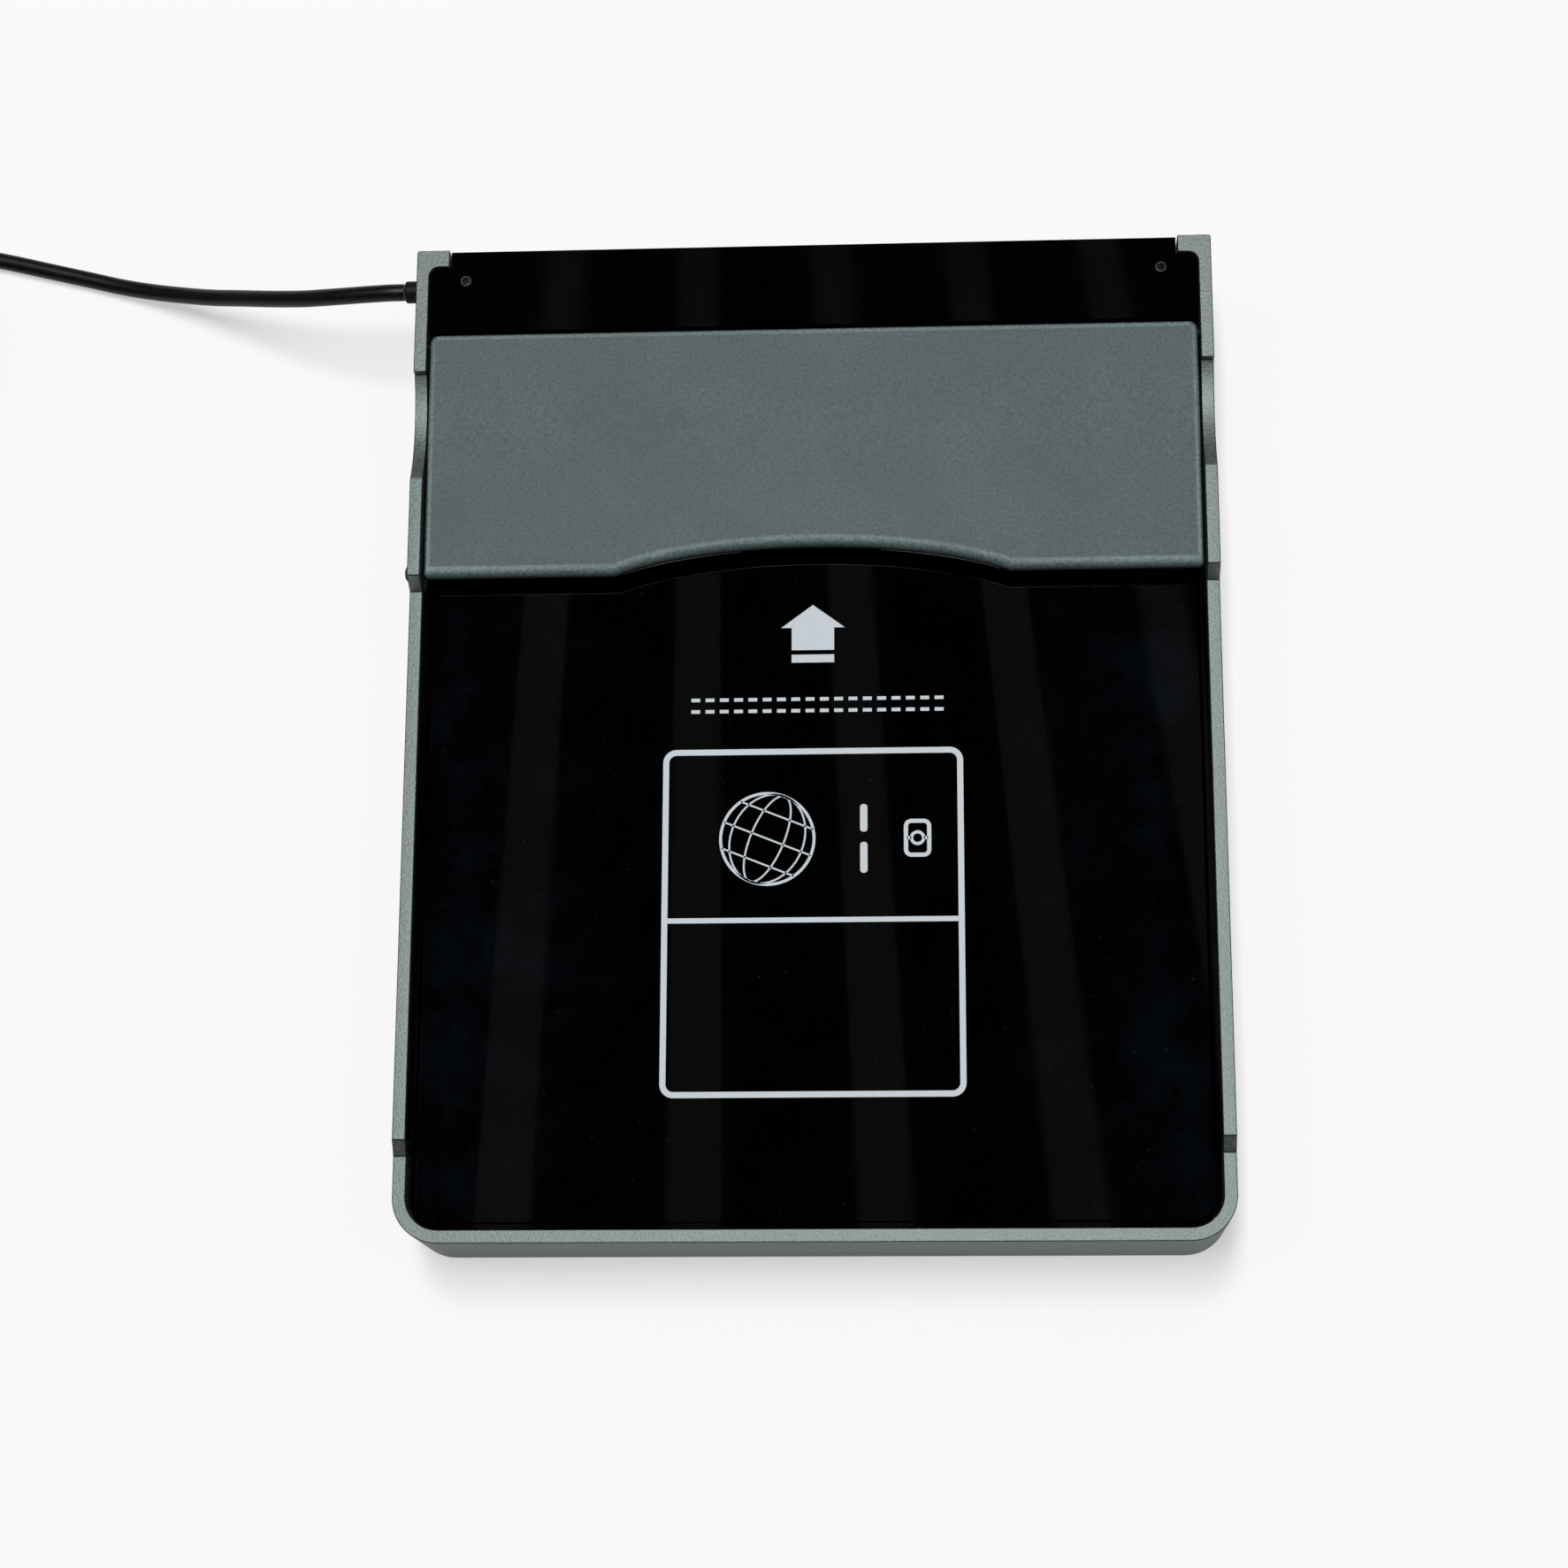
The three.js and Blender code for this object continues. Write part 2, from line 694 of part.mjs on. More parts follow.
// Base plate with foot recesses, screw seats, board stands and the slot of the switch board
function standPlaces() {
  const x = mainBoardX - 3 * standRadius;
  return [
    [-x, mainBoardFrontY + standRadius + gap],
    [x, mainBoardFrontY + standRadius + gap],
    [-x / 3, mainBoardRearY - standRadius - gap],
    [x / 3, mainBoardRearY - standRadius - gap],
  ];
}

function footPlaces() {
  const x = sideX - footInset;
  const y = rearY - footInset;
  return [['front_left', -x, -y], ['front_right', x, -y], ['rear_left', -x, y], ['rear_right', x, y]];
}

function screwPlaces() {
  const [front, rear] = tabYs;
  return [
    ['front_left', -tabHoleX, front],
    ['front_right', tabHoleX, front],
    ['rear_left', -tabHoleX, rear],
    ['rear_right', tabHoleX, rear],
  ];
}

function makeBase() {
  const plate = insideOfFrame(gap, footStand, baseTop);
  const stands = standPlaces().map(([x, y]) => rod(
    'z', standRadius, baseTop - gap, baseTop + boardStand, x, y, 0, 16,
  ));
  const slotPosts = [-1, 1].map((side) => box(
    switchBoardX - 2 * ribThickness, switchBoardX + boardThickness + 2 * ribThickness,
    buttonY + side * (switchSize + gap) - ribThickness, buttonY + side * (switchSize + gap) + ribThickness,
    baseTop - gap, baseTop + boardStand,
  ));
  const slots = [box(
    switchBoardX - gap, switchBoardX + boardThickness + gap,
    buttonY - switchSize - gap, buttonY + switchSize + gap, baseTop, baseTop + 2 * boardStand,
  )];
  const holes = [];
  for (const [, x, y] of footPlaces()) {
    holes.push(rod('z', footRadius + gap, 0, footStand + footSeat, x, y, 0, 28));
  }
  for (const [, x, y] of screwPlaces()) {
    holes.push(rod('z', screwRadius + gap, 0, baseTop + gap, x, y, 0, 12));
    holes.push(rod('z', screwHeadRadius + gap, 0, screwSeat + gap, x, y, 0, 16));
  }
  for (const [x, y] of standPlaces()) {
    holes.push(rod('z', boardScrewRadius + gap, baseTop, baseTop + boardStand + gap, x, y, 0, 12));
  }
  add('base_plate', cut(join([plate, ...stands, ...slotPosts]), [...holes, ...slots]), finishes.base);
}

function makeFeet() {
  const top = footStand + footSeat - glueGap;
  for (const [name, x, y] of footPlaces()) {
    const profile = [
      [0, 0], [0, footRadius - footStand], [footStand, footRadius], [top, footRadius], [top, 0],
    ];
    add(`foot_${name}`, turned(profile, 'z', x, y, 0, 24), finishes.rubber);
  }
}

function makeScrews() {
  const headBottom = screwSeat - screwHeadHeight;
  const tip = tabTop + screwBite;
  for (const [name, x, y] of screwPlaces()) {
    const profile = [
      [headBottom, 0], [headBottom, screwHeadRadius], [screwSeat, screwHeadRadius],
      [screwSeat, screwRadius], [tip, screwRadius], [tip, 0],
    ];
    add(`base_screw_${name}`, turned(profile, 'z', x, y, 0, 14), finishes.steel);
  }
}

// Button in the left side wall: dome outside, flange behind the housing's wall
function makeButton() {
  const outer = -sideX - buttonReach;
  const flangeX = -housingInnerX + gap;
  const back = flangeX + buttonFlangeLength;
  const profile = [
    [outer, 0], [outer, buttonRadius - 2 * buttonDome], [outer + buttonDome / 2, buttonRadius - buttonDome],
    [outer + 2 * buttonDome, buttonRadius], [flangeX, buttonRadius], [flangeX, buttonFlange],
    [back, buttonFlange], [back, 0],
  ];
  add('side_button', turned(profile, 'x', 0, buttonY, buttonHeight, 24), finishes.lining);
  const plungerX = back + buttonTravel + glueGap;
  const bodyX = plungerX + buttonTravel;
  const half = switchSize / 2;
  const body = box(
    bodyX, switchBoardX - glueGap, buttonY - half, buttonY + half, buttonHeight - half, buttonHeight + half,
  );
  const plunger = rod('x', switchPlungerRadius, plungerX, bodyX + gap, 0, buttonY, buttonHeight, 12);
  add('button_switch', body.add(plunger), finishes.chip);
  add('switch_board', box(
    switchBoardX, switchBoardX + boardThickness, buttonY - switchSize, buttonY + switchSize,
    baseTop + glueGap, buttonHeight + half - gap,
  ), finishes.board);
}

function makeIndicators() {
  for (const [word, side] of [['left', -1], ['right', 1]]) {
    const x = side * indicatorX;
    add(`indicator_lens_${word}`,
      rod('z', indicatorRadius, rearRoofBottom, blockTop - glueGap, x, indicatorY, 0, 16), finishes.lens);
    const half = indicatorBoardSize / 2;
    add(`indicator_board_${word}`, box(
      x - half, x + half, indicatorY - half + gap, indicatorY + half / 3,
      rearRoofBottom - glueGap - boardThickness / 2, rearRoofBottom - glueGap,
    ), finishes.board);
  }
}

// Main board behind the mirror, notched round the housing's bosses
function makeMainBoard() {
  const plate = box(
    -mainBoardX, mainBoardX, mainBoardFrontY, mainBoardRearY, boardBottom, boardTop,
  );
  const holes = standPlaces().map(([x, y]) => rod(
    'z', boardScrewRadius + gap, 0, boardTop + gap, x, y, 0, 12,
  ));
  const notches = [];
  for (const side of [-1, 1]) {
    const x = side * tabHoleX;
    const reach = bossRadius + 3 * gap;
    const edge = side * (mainBoardX + gap);
    notches.push(rod('z', reach, 0, boardTop + gap, x, tabYs[1], 0, 16));
    notches.push(box(
      Math.min(x, edge), Math.max(x, edge), tabYs[1] - reach, tabYs[1] + reach, 0, boardTop + gap,
    ));
  }
  add('main_board', cut(plate, [...holes, ...notches]), finishes.board);

  const on = boardTop + glueGap;
  const middleY = (mainBoardFrontY + mainBoardRearY) / 2;
  const onBoard = (name, x, y, wide, deep, high, finish) => add(
    name, box(x - wide / 2, x + wide / 2, y - deep / 2, y + deep / 2, on, on + high), finish,
  );
  const memoryStep = (processorSize + memoryWidth) / 2 + chipSpacing;
  onBoard('processor', 0, middleY, processorSize, processorSize, processorHeight, finishes.chip);
  onBoard('memory_chip_left', -memoryStep, middleY, memoryWidth, memoryDepth, chipHeight, finishes.chip);
  onBoard('memory_chip_right', memoryStep, middleY, memoryWidth, memoryDepth, chipHeight, finishes.chip);
  onBoard('radio_chip', mainBoardX - radioFromEdge, middleY, radioSize, radioSize, chipHeight, finishes.chip);
  onBoard('cable_header', headerX, headerY, headerWidth, headerDepth, headerHeight, finishes.white);
  const sounderX = headerX + headerWidth / 2 + sounderRadius + chipSpacing;
  add('sounder', rod('z', sounderRadius, on, on + sounderHeight, sounderX, headerY, 0, 20), finishes.chip);
  const headTop = boardTop + glueGap + boardScrewHeadHeight;
  standPlaces().forEach(([x, y], i) => {
    const profile = [
      [baseTop + gap, 0], [baseTop + gap, boardScrewRadius], [boardTop + glueGap, boardScrewRadius],
      [boardTop + glueGap, boardScrewHead], [headTop, boardScrewHead], [headTop, 0],
    ];
    add(`board_screw_${i + 1}`, turned(profile, 'z', x, y, 0, 12), finishes.steel);
  });
}

// Mirror that turns the view of the scan window into the camera, on two wedge holders
function makeMirror() {
  const along = new THREE.Vector2(Math.cos(mirrorTilt), Math.sin(mirrorTilt));
  const up = new THREE.Vector2(-along.y, along.x);
  const windowMiddleY = (windowFrontY + windowRearY) / 2;
  const foot = new THREE.Vector2(windowMiddleY - mirrorDepth / 2, baseTop + mirrorAboveBase);
  const at = (a, b) => [foot.x + along.x * a + up.x * b, foot.y + along.y * a + up.y * b];
  add('mirror', acrossX(polygon([
    at(0, 0), at(mirrorDepth, 0), at(mirrorDepth, mirrorThickness), at(0, mirrorThickness),
  ]), -mirrorX, mirrorX), finishes.mirror);
  const low = at(0, -gap);
  const high = at(mirrorDepth, -gap);
  const stop = at(-gap, mirrorThickness);
  const stopFoot = at(-gap, -gap);
  const holderFrontY = low[0] - mirrorHolderFront;
  const holderRearY = high[0] + mirrorHolderRear;
  for (const [word, side] of [['left', -1], ['right', 1]]) {
    const x = side * (mirrorX - mirrorHolderInset - mirrorHolderWidth / 2);
    add(`mirror_holder_${word}`, acrossX(polygon([
      [holderFrontY, baseTop + glueGap], [holderRearY, baseTop + glueGap], [holderRearY, high[1]], high,
      stopFoot, stop, [holderFrontY, stop[1]],
    ]), x - mirrorHolderWidth / 2, x + mirrorHolderWidth / 2), finishes.base);
  }
}

// Camera that looks along the reader at the mirror
function makeCamera() {
  const half = cameraBracketWidth / 2;
  const floor = baseTop + glueGap;
  const foot = box(
    -half, half, cameraY - cameraBracketLength / 2, cameraY + cameraBracketLength / 2,
    floor, floor + cameraFoot,
  );
  const top = cameraHeight + cameraBarrelRadius + 3 * gap;
  const wallY = cameraY - cameraWall / 2;
  const wall = box(-half, half, wallY, wallY + cameraWall, floor, top);
  const hole = rod('y', cameraBarrelRadius + gap, wallY - gap, wallY + cameraWall + gap, 0, 0, 0, 24)
    .translate([0, 0, cameraHeight]);
  add('camera_bracket', cut(foot.add(wall), [hole]), finishes.base);

  const back = wallY - cameraBarrelBehind;
  const front = cameraY + cameraBarrelReach;
  const shoulder = front - cameraNoseLength;
  const mouth = front - cameraMouthDepth;
  const barrel = [
    [back, 0], [back, cameraBarrelRadius], [shoulder, cameraBarrelRadius], [shoulder, cameraNoseRadius],
    [front, cameraNoseRadius], [front, cameraMouthRadius], [mouth, cameraLensRadius + gap], [mouth, 0],
  ];
  add('camera_barrel', turned(barrel, 'y', 0, 0, cameraHeight, 24), finishes.chip);
  const lensBack = mouth + gap;
  const lensFront = lensBack + cameraLensThickness;
  const lens = [
    [lensBack, 0], [lensBack, cameraLensRadius], [lensFront - gap, cameraLensRadius - gap], [lensFront, 0],
  ];
  add('camera_lens', turned(lens, 'y', 0, 0, cameraHeight, 20), finishes.lens);
  add('camera_board', box(
    -half, half, back - gap - boardThickness, back - gap, floor + cameraFoot + glueGap, top,
  ), finishes.board);
}

// Light boards beside the scan window, each with a row of light emitters and a light guide
function makeLights() {
  const top = deckBottom - glueGap;
  const bottom = top - lightBoardThickness;
  const rows = [
    ['front', windowFrontY - lightBoardWidth - gap, windowFrontY - gap, 1],
    ['rear', windowRearY + gap, windowRearY + gap + lightBoardWidth, -1],
  ];
  for (const [word, y0, y1, towards] of rows) {
    const parts = [box(-windowX, windowX, y0, y1, bottom, top)];
    const middle = (y0 + y1) / 2;
    for (let i = 0; i < lightCount; i += 1) {
      const x = -windowX + (2 * windowX * (i + 0.5)) / lightCount;
      parts.push(box(
        x - ledSize / 2, x + ledSize / 2, middle - ledSize / 2, middle + ledSize / 2,
        bottom - ledHeight, bottom + ledHeight / 2,
      ));
    }
    add(`light_board_${word}`, join(parts), finishes.white);
    const guideTop = bottom - ledHeight - gap;
    const nearEdge = towards > 0 ? y1 : y0;
    const farEdge = towards > 0 ? y0 : y1;
    add(`light_guide_${word}`, acrossX(polygon([
      [farEdge, guideTop], [nearEdge, guideTop], [nearEdge, guideTop - lightGuideDepth],
      [nearEdge - towards * lightGuideDepth, guideTop - lightGuideDepth],
    ]), -windowX, windowX), finishes.lens);
  }
}

function makeAntenna() {
  const top = deckBottom - glueGap;
  const y0 = housingInnerFrontY + antennaFromFront;
  add('antenna_board', box(
    -antennaWidth / 2, antennaWidth / 2, y0, y0 + antennaLength, top - antennaThickness, top,
  ), finishes.board);
}

// Sensor that feels a document through a small hole in the deck
function makeDocumentSensor() {
  const half = sensorSize / 2;
  const top = deckBottom - glueGap;
  add('document_sensor', box(
    sensorX - half, sensorX + half, sensorY - half, sensorY + half, top - sensorHeight, top,
  ), finishes.chip);
}

// Strain relief in the side wall, its flange flat on the side next to the frame's return
function makeCollar() {
  const outer = -sideX - collarReach;
  const flangeX = -housingInnerX + gap;
  const profile = [
    [outer, 0], [outer, collarRadius - gap], [outer + gap, collarRadius], [flangeX, collarRadius],
    [flangeX, collarFlange], [flangeX + collarFlangeLength, collarFlange], [flangeX + collarFlangeLength, 0],
  ];
  const beyondFlat = box(
    outer - gap, 0, innerRearY - gap, rearY, collarHeight - 2 * collarFlange, collarHeight + 2 * collarFlange,
  );
  const collar = turned(profile, 'x', 0, collarY, collarHeight, 24);
  add('cord_collar', cut(collar, [beyondFlat]), finishes.cord);
}

function section(radius, sides) {
  const points = [];
  for (let i = 0; i < sides; i += 1) {
    const angle = (2 * Math.PI * (i + 0.5)) / sides;
    points.push([radius * Math.cos(angle), radius * Math.sin(angle)]);
  }
  return polygon(points);
}

function tube(points, radius, sides, steps) {
  const path = new THREE.CatmullRomCurve3(points.map(([x, y, z]) => new THREE.Vector3(x, y, z)));
  const geometry = new THREE.ExtrudeGeometry(section(radius, sides), {
    steps, bevelEnabled: false, extrudePath: path,
  });
  return { solid: toSolid(geometry), length: path.getLength() };
}

// Lead from the strain relief to the header on the main board
function makeInnerLead() {
  const start = -housingInnerX + gap + collarFlangeLength + gap;
  const end = boardTop + glueGap + headerHeight + gap;
  const startY = innerRearY - gap - housingWall - gap - innerLeadRadius;
  const plugTop = end + 1.5 * innerLeadRadius;
  const lead = tube([
    [start, startY, collarHeight],
    [start + 3, startY, collarHeight - 0.3],
    [start + 8, startY - 1.5, collarHeight - 2.6],
    [headerX - 3, headerY + 2, plugTop + 3],
    [headerX, headerY, plugTop],
    [headerX, headerY, end],
  ], innerLeadRadius, 8, 12);
  add('inner_lead', lead.solid, finishes.cord);
}

// Cord: the free stretch lies on a route chosen by hand, from the collar to the coil
const cordRoute = [
  [-sideX - collarReach - gap, collarY, collarHeight],
  [-85, 91.3, 25.1],
  [-90, 91.4, 24.3],
  [-96, 91.8, 22.6],
  [-103, 92.7, 19.8],
  [-110, 94.2, 16.5],
  [-117, 96, 12.9],
  [-124, 97.8, 9.3],
  [-131, 99.8, 6.1],
  [-138, 101.7, 3.7],
  [-145, 103.6, 2.2],
  [-152, 105.5, 1.8],
  [-160, 107.5, 1.75],
  [-168, 109.5, 1.75],
  [-176, 111.3, 1.75],
  [-184, 112.9, 1.85],
  [-190, 113.8, 2.2],
  [-195, 114.3, 2.45],
  [-198.3, 114.4, 2.5],
];

// Coil: turns that spiral in and out in layers, climbing a layer in the half turn of each reversal
const coilOuterRadius = coilMiddleRadius + (coilPitch * coilTurnsPerLayer) / 2;
const coilBottom = tieThickness + gap + cordRadius;
const coilStart = new THREE.Vector3(cordRoute.at(-1)[0] - gap, cordRoute.at(-1)[1], coilBottom);
const coilCentre = new THREE.Vector2(coilStart.x - 2 * cordRadius, coilStart.y - coilOuterRadius);
const coilTurns = coilLayers * coilTurnsPerLayer + coilExtraTurn;
const plugMiddleZ = plugHeight / 2;

function coilRadiusAt(turn) {
  const layer = Math.min(Math.floor(turn / coilTurnsPerLayer), coilLayers - 1);
  const within = turn - layer * coilTurnsPerLayer;
  const inward = layer % 2 === 0;
  const start = inward ? coilOuterRadius : coilOuterRadius - coilPitch * coilTurnsPerLayer;
  return start + (inward ? -1 : 1) * coilPitch * within;
}

function coilHeightAt(turn) {
  let height = coilBottom;
  for (let k = 1; k < coilLayers; k += 1) {
    const climb = (turn - k * coilTurnsPerLayer) / coilClimbTurn + 0.5;
    height += coilPitch * THREE.MathUtils.smoothstep(climb, 0, 1);
  }
  return height;
}

function coilPoint(turn) {
  const angle = Math.PI / 2 + 2 * Math.PI * turn;
  const radius = coilRadiusAt(turn);
  return new THREE.Vector3(
    coilCentre.x + radius * Math.cos(angle),
    coilCentre.y + radius * Math.sin(angle),
    coilHeightAt(turn),
  );
}

function coilPath() {
  const points = [coilStart.clone()];
  const steps = Math.round(coilTurns * coilStepsPerTurn);
  for (let i = 0; i <= steps; i += 1) {
    points.push(coilPoint((coilTurns * i) / steps));
  }
  const last = points.at(-1).clone();
  const straight = 2 * cordRadius;
  for (let i = 1; i <= coilTailSteps; i += 1) {
    const along = (coilTailLength * i) / coilTailSteps;
    const fall = THREE.MathUtils.smoothstep(along, 0, coilTailLength - straight);
    points.push(new THREE.Vector3(last.x, last.y - along, last.z + (plugMiddleZ - last.z) * fall));
  }
  return points;
}

function sweep(points, radius, sides) {
  const positions = [];
  const rings = points.map((point, i) => {
    const before = points[Math.max(i - 1, 0)];
    const after = points[Math.min(i + 1, points.length - 1)];
    const ahead = after.clone().sub(before).normalize();
    if (i === 0) ahead.set(-1, 0, 0);
    if (i === points.length - 1) ahead.set(0, -1, 0);
    const across = new THREE.Vector3(0, 0, 1).cross(ahead).normalize();
    const up = ahead.clone().cross(across);
    return Array.from({ length: sides }, (_, k) => {
      const angle = (2 * Math.PI * k) / sides;
      return point.clone()
        .addScaledVector(across, radius * Math.cos(angle))
        .addScaledVector(up, radius * Math.sin(angle));
    });
  });
  const face = (a, b, c) => positions.push(...a.toArray(), ...b.toArray(), ...c.toArray());
  for (let i = 0; i + 1 < rings.length; i += 1) {
    for (let k = 0; k < sides; k += 1) {
      const next = (k + 1) % sides;
      face(rings[i][k], rings[i][next], rings[i + 1][next]);
      face(rings[i][k], rings[i + 1][next], rings[i + 1][k]);
    }
  }
  const first = rings[0];
  const end = rings.at(-1);
  for (let k = 1; k + 1 < sides; k += 1) {
    face(first[0], first[k + 1], first[k]);
    face(end[0], end[k], end[k + 1]);
  }
  const geometry = new THREE.BufferGeometry();
  geometry.setAttribute('position', new THREE.Float32BufferAttribute(positions, 3));
  return geometry;
}

function pathLength(points) {
  return points.slice(1).reduce((sum, point, i) => sum + point.distanceTo(points[i]), 0);
}

// Least distance between stretches of the coil that aren't next to each other, less one diameter
function leastGap(points) {
  let least = Infinity;
  for (let i = 0; i < points.length; i += 1) {
    for (let k = i + coilStepsPerTurn / 2; k < points.length - 1; k += 1) {
      const line = new THREE.Line3(points[k], points[k + 1]);
      const nearest = line.closestPointToPoint(points[i], true, new THREE.Vector3());
      least = Math.min(least, nearest.distanceTo(points[i]));
    }
  }
  return least - 2 * cordRadius;
}

function makeCord() {
  const free = tube(cordRoute, cordRadius, 8, 18);
  add('cord_tube', free.solid, finishes.cord);
  const points = coilPath();
  add('cord_coil', toSolid(sweep(points, cordRadius, coilSides)), finishes.cord);
  const total = (free.length + pathLength(points)) / 1000;
  console.log(`cord ${total.toFixed(3)} m, coil's least gap to itself ${leastGap(points).toFixed(2)} mm`);
}

// Tie round the coil's turns, on the side away from the plug
function makeTie() {
  const innerRadius = coilOuterRadius - coilPitch * coilTurnsPerLayer - cordRadius;
  const sag = innerRadius - Math.sqrt(innerRadius ** 2 - (tieWidth / 2) ** 2);
  const near = coilCentre.y - (innerRadius - sag - gap);
  const far = coilCentre.y - (coilOuterRadius + cordRadius + gap);
  const top = coilBottom + (coilLayers - 1) * coilPitch + cordRadius + gap;
  const t = tieThickness;
  const outer = roundedRectangle(far - t, near + t, 0, top + t, tieCorner);
  const hole = roundedRectangle(far, near, t, top, tieCorner / 2);
  outer.holes.push(hole);
  add('coil_tie', acrossX(outer, coilCentre.x - tieWidth / 2, coilCentre.x + tieWidth / 2, 4), finishes.tie);
}

// Plug at the cord's end, lying on its broad side
function makePlug() {
  const x = coilCentre.x - coilRadiusAt(coilTurns);
  const rear = coilPath().at(-1).y - gap;
  const front = rear - plugLength;
  const half = plugWidth / 2;
  const neck = plugNeckWidth / 2;
  const shoulder = rear - plugNeckLength;
  const outline = new THREE.Shape();
  outline.moveTo(x - neck, rear);
  outline.lineTo(x - neck - plugNeckFlare, shoulder + plugShoulderRun);
  outline.quadraticCurveTo(
    x - neck - plugShoulderPull, shoulder, x - half, shoulder - plugShoulderRun,
  );
  outline.lineTo(x - half, front);
  outline.lineTo(x + half, front);
  outline.lineTo(x + half, shoulder - plugShoulderRun);
  outline.quadraticCurveTo(
    x + neck + plugShoulderPull, shoulder, x + neck + plugNeckFlare, shoulder + plugShoulderRun,
  );
  outline.lineTo(x + neck, rear);
  const geometry = new THREE.ExtrudeGeometry(outline, {
    depth: plugHeight - 2 * plugRound,
    bevelEnabled: true,
    bevelThickness: plugRound,
    bevelSize: plugRound,
    bevelOffset: -plugRound,
    bevelSegments: 2,
    curveSegments: 4,
  });
  geometry.translate(0, 0, plugRound);
  const seatEnd = front + plugShellSeat;
  const shellHalf = plugShellWidth / 2;
  const shellLow = plugMiddleZ - plugShellHeight / 2;
  const shellHigh = plugMiddleZ + plugShellHeight / 2;
  const recess = box(
    x - shellHalf - gap, x + shellHalf + gap, front - gap, seatEnd, shellLow - gap, shellHigh + gap,
  );
  add('usb_plug_body', cut(toSolid(geometry), [recess]), finishes.cord);

  const shellFront = front - plugShellReach;
  const w = plugShellWall;
  const shell = box(x - shellHalf, x + shellHalf, shellFront, seatEnd - gap, shellLow, shellHigh);
  const room = box(
    x - shellHalf + w, x + shellHalf - w, shellFront - w, seatEnd, shellLow + w, shellHigh - w,
  );
  const windows = [-1, 1].map((side) => {
    const middle = x + (side * plugWindowSpacing) / 2;
    return box(
      middle - plugWindowSize / 2, middle + plugWindowSize / 2,
      shellFront + plugWindowFromEnd, shellFront + plugWindowFromEnd + plugWindowSize,
      shellLow - gap, shellHigh + gap,
    );
  });
  add('usb_plug_shell', cut(shell, [room, ...windows]), finishes.steel);
  add('usb_plug_tongue', box(
    x - shellHalf + w + gap, x + shellHalf - w - gap, shellFront + 2 * gap, seatEnd - gap,
    shellHigh - w - gap - plugTongueHeight, shellHigh - w - gap,
  ), finishes.white);
}

makeFrame();
makeHousing();
makeGlass();
makeCover();
makeHingePins();
makeBase();
makeFeet();
makeScrews();
makeButton();
makeIndicators();
makeMainBoard();
makeMirror();
makeCamera();
makeLights();
makeAntenna();
makeDocumentSensor();
makeCollar();
makeInnerLead();
makeCord();
makeTie();
makePlug();

export default reader;
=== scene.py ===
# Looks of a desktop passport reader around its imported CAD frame
import json
import math

import bmesh
import bpy
from mathutils import Matrix, Vector


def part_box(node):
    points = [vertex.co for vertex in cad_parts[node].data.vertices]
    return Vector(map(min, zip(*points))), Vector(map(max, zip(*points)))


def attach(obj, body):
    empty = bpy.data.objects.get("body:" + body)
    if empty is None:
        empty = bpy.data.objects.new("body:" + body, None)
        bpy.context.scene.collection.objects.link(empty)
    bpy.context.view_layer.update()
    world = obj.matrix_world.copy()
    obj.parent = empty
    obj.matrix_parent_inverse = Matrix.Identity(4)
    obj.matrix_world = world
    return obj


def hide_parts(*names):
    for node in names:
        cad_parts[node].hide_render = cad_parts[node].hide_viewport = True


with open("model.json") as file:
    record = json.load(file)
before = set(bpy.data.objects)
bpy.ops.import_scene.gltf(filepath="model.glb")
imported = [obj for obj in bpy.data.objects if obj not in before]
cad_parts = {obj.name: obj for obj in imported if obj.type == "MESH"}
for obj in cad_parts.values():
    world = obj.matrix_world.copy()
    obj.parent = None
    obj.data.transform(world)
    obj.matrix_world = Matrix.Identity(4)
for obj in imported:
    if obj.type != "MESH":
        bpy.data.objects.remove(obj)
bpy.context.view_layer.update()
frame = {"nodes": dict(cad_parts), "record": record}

# Blender works in metres, in the frame of the CAD. Sections whose sizes are in millimetres say so.
MM = 0.001

# Places read from the frame
glass_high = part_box("document_glass")[1]
housing_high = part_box("inner_housing")[1]
frame_low, frame_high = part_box("outer_frame")
cover_low, cover_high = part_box("cover_shell")
MIDDLE_X = (frame_low.x + frame_high.x) / 2


# Helpers for places and shapes

def at(x, y, z):
    """A point given in millimetres from the reader's mid-plane, in metres of the frame."""
    return Vector((MIDDLE_X + x * MM, y * MM, z * MM))


def smoothstep(value, low, high):
    """0 up to low, 1 from high on, and a smooth rise between them."""
    share = min(max((value - low) / (high - low), 0), 1)
    return share * share * (3 - 2 * share)


def circle(radius, sides):
    """Points of a circle round the origin."""
    angles = [2 * math.pi * i / sides for i in range(sides)]
    return [(radius * math.cos(angle), radius * math.sin(angle)) for angle in angles]


def quarter(x, y, radius_x, radius_y, start, steps):
    """Points of a quarter turn round (x, y) that begins at the angle start, in degrees."""
    angles = [math.radians(start + 90 * i / steps) for i in range(steps + 1)]
    return [(x + radius_x * math.cos(angle), y + radius_y * math.sin(angle)) for angle in angles]


def rounded_box(x0, x1, y0, y1, radius, steps=8):
    """A rectangle with rounded corners."""
    corners = [
        (x1 - radius, y0 + radius, -90),
        (x1 - radius, y1 - radius, 0),
        (x0 + radius, y1 - radius, 90),
        (x0 + radius, y0 + radius, 180),
    ]
    return [point for x, y, start in corners for point in quarter(x, y, radius, radius, start, steps)]


def new_object(name, data, material, body):
    """A piece of the reader that rides on a body, with the given material."""
    piece = bpy.data.objects.new(name, data)
    bpy.context.scene.collection.objects.link(piece)
    piece.data.materials.append(material)
    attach(piece, body)
    return piece


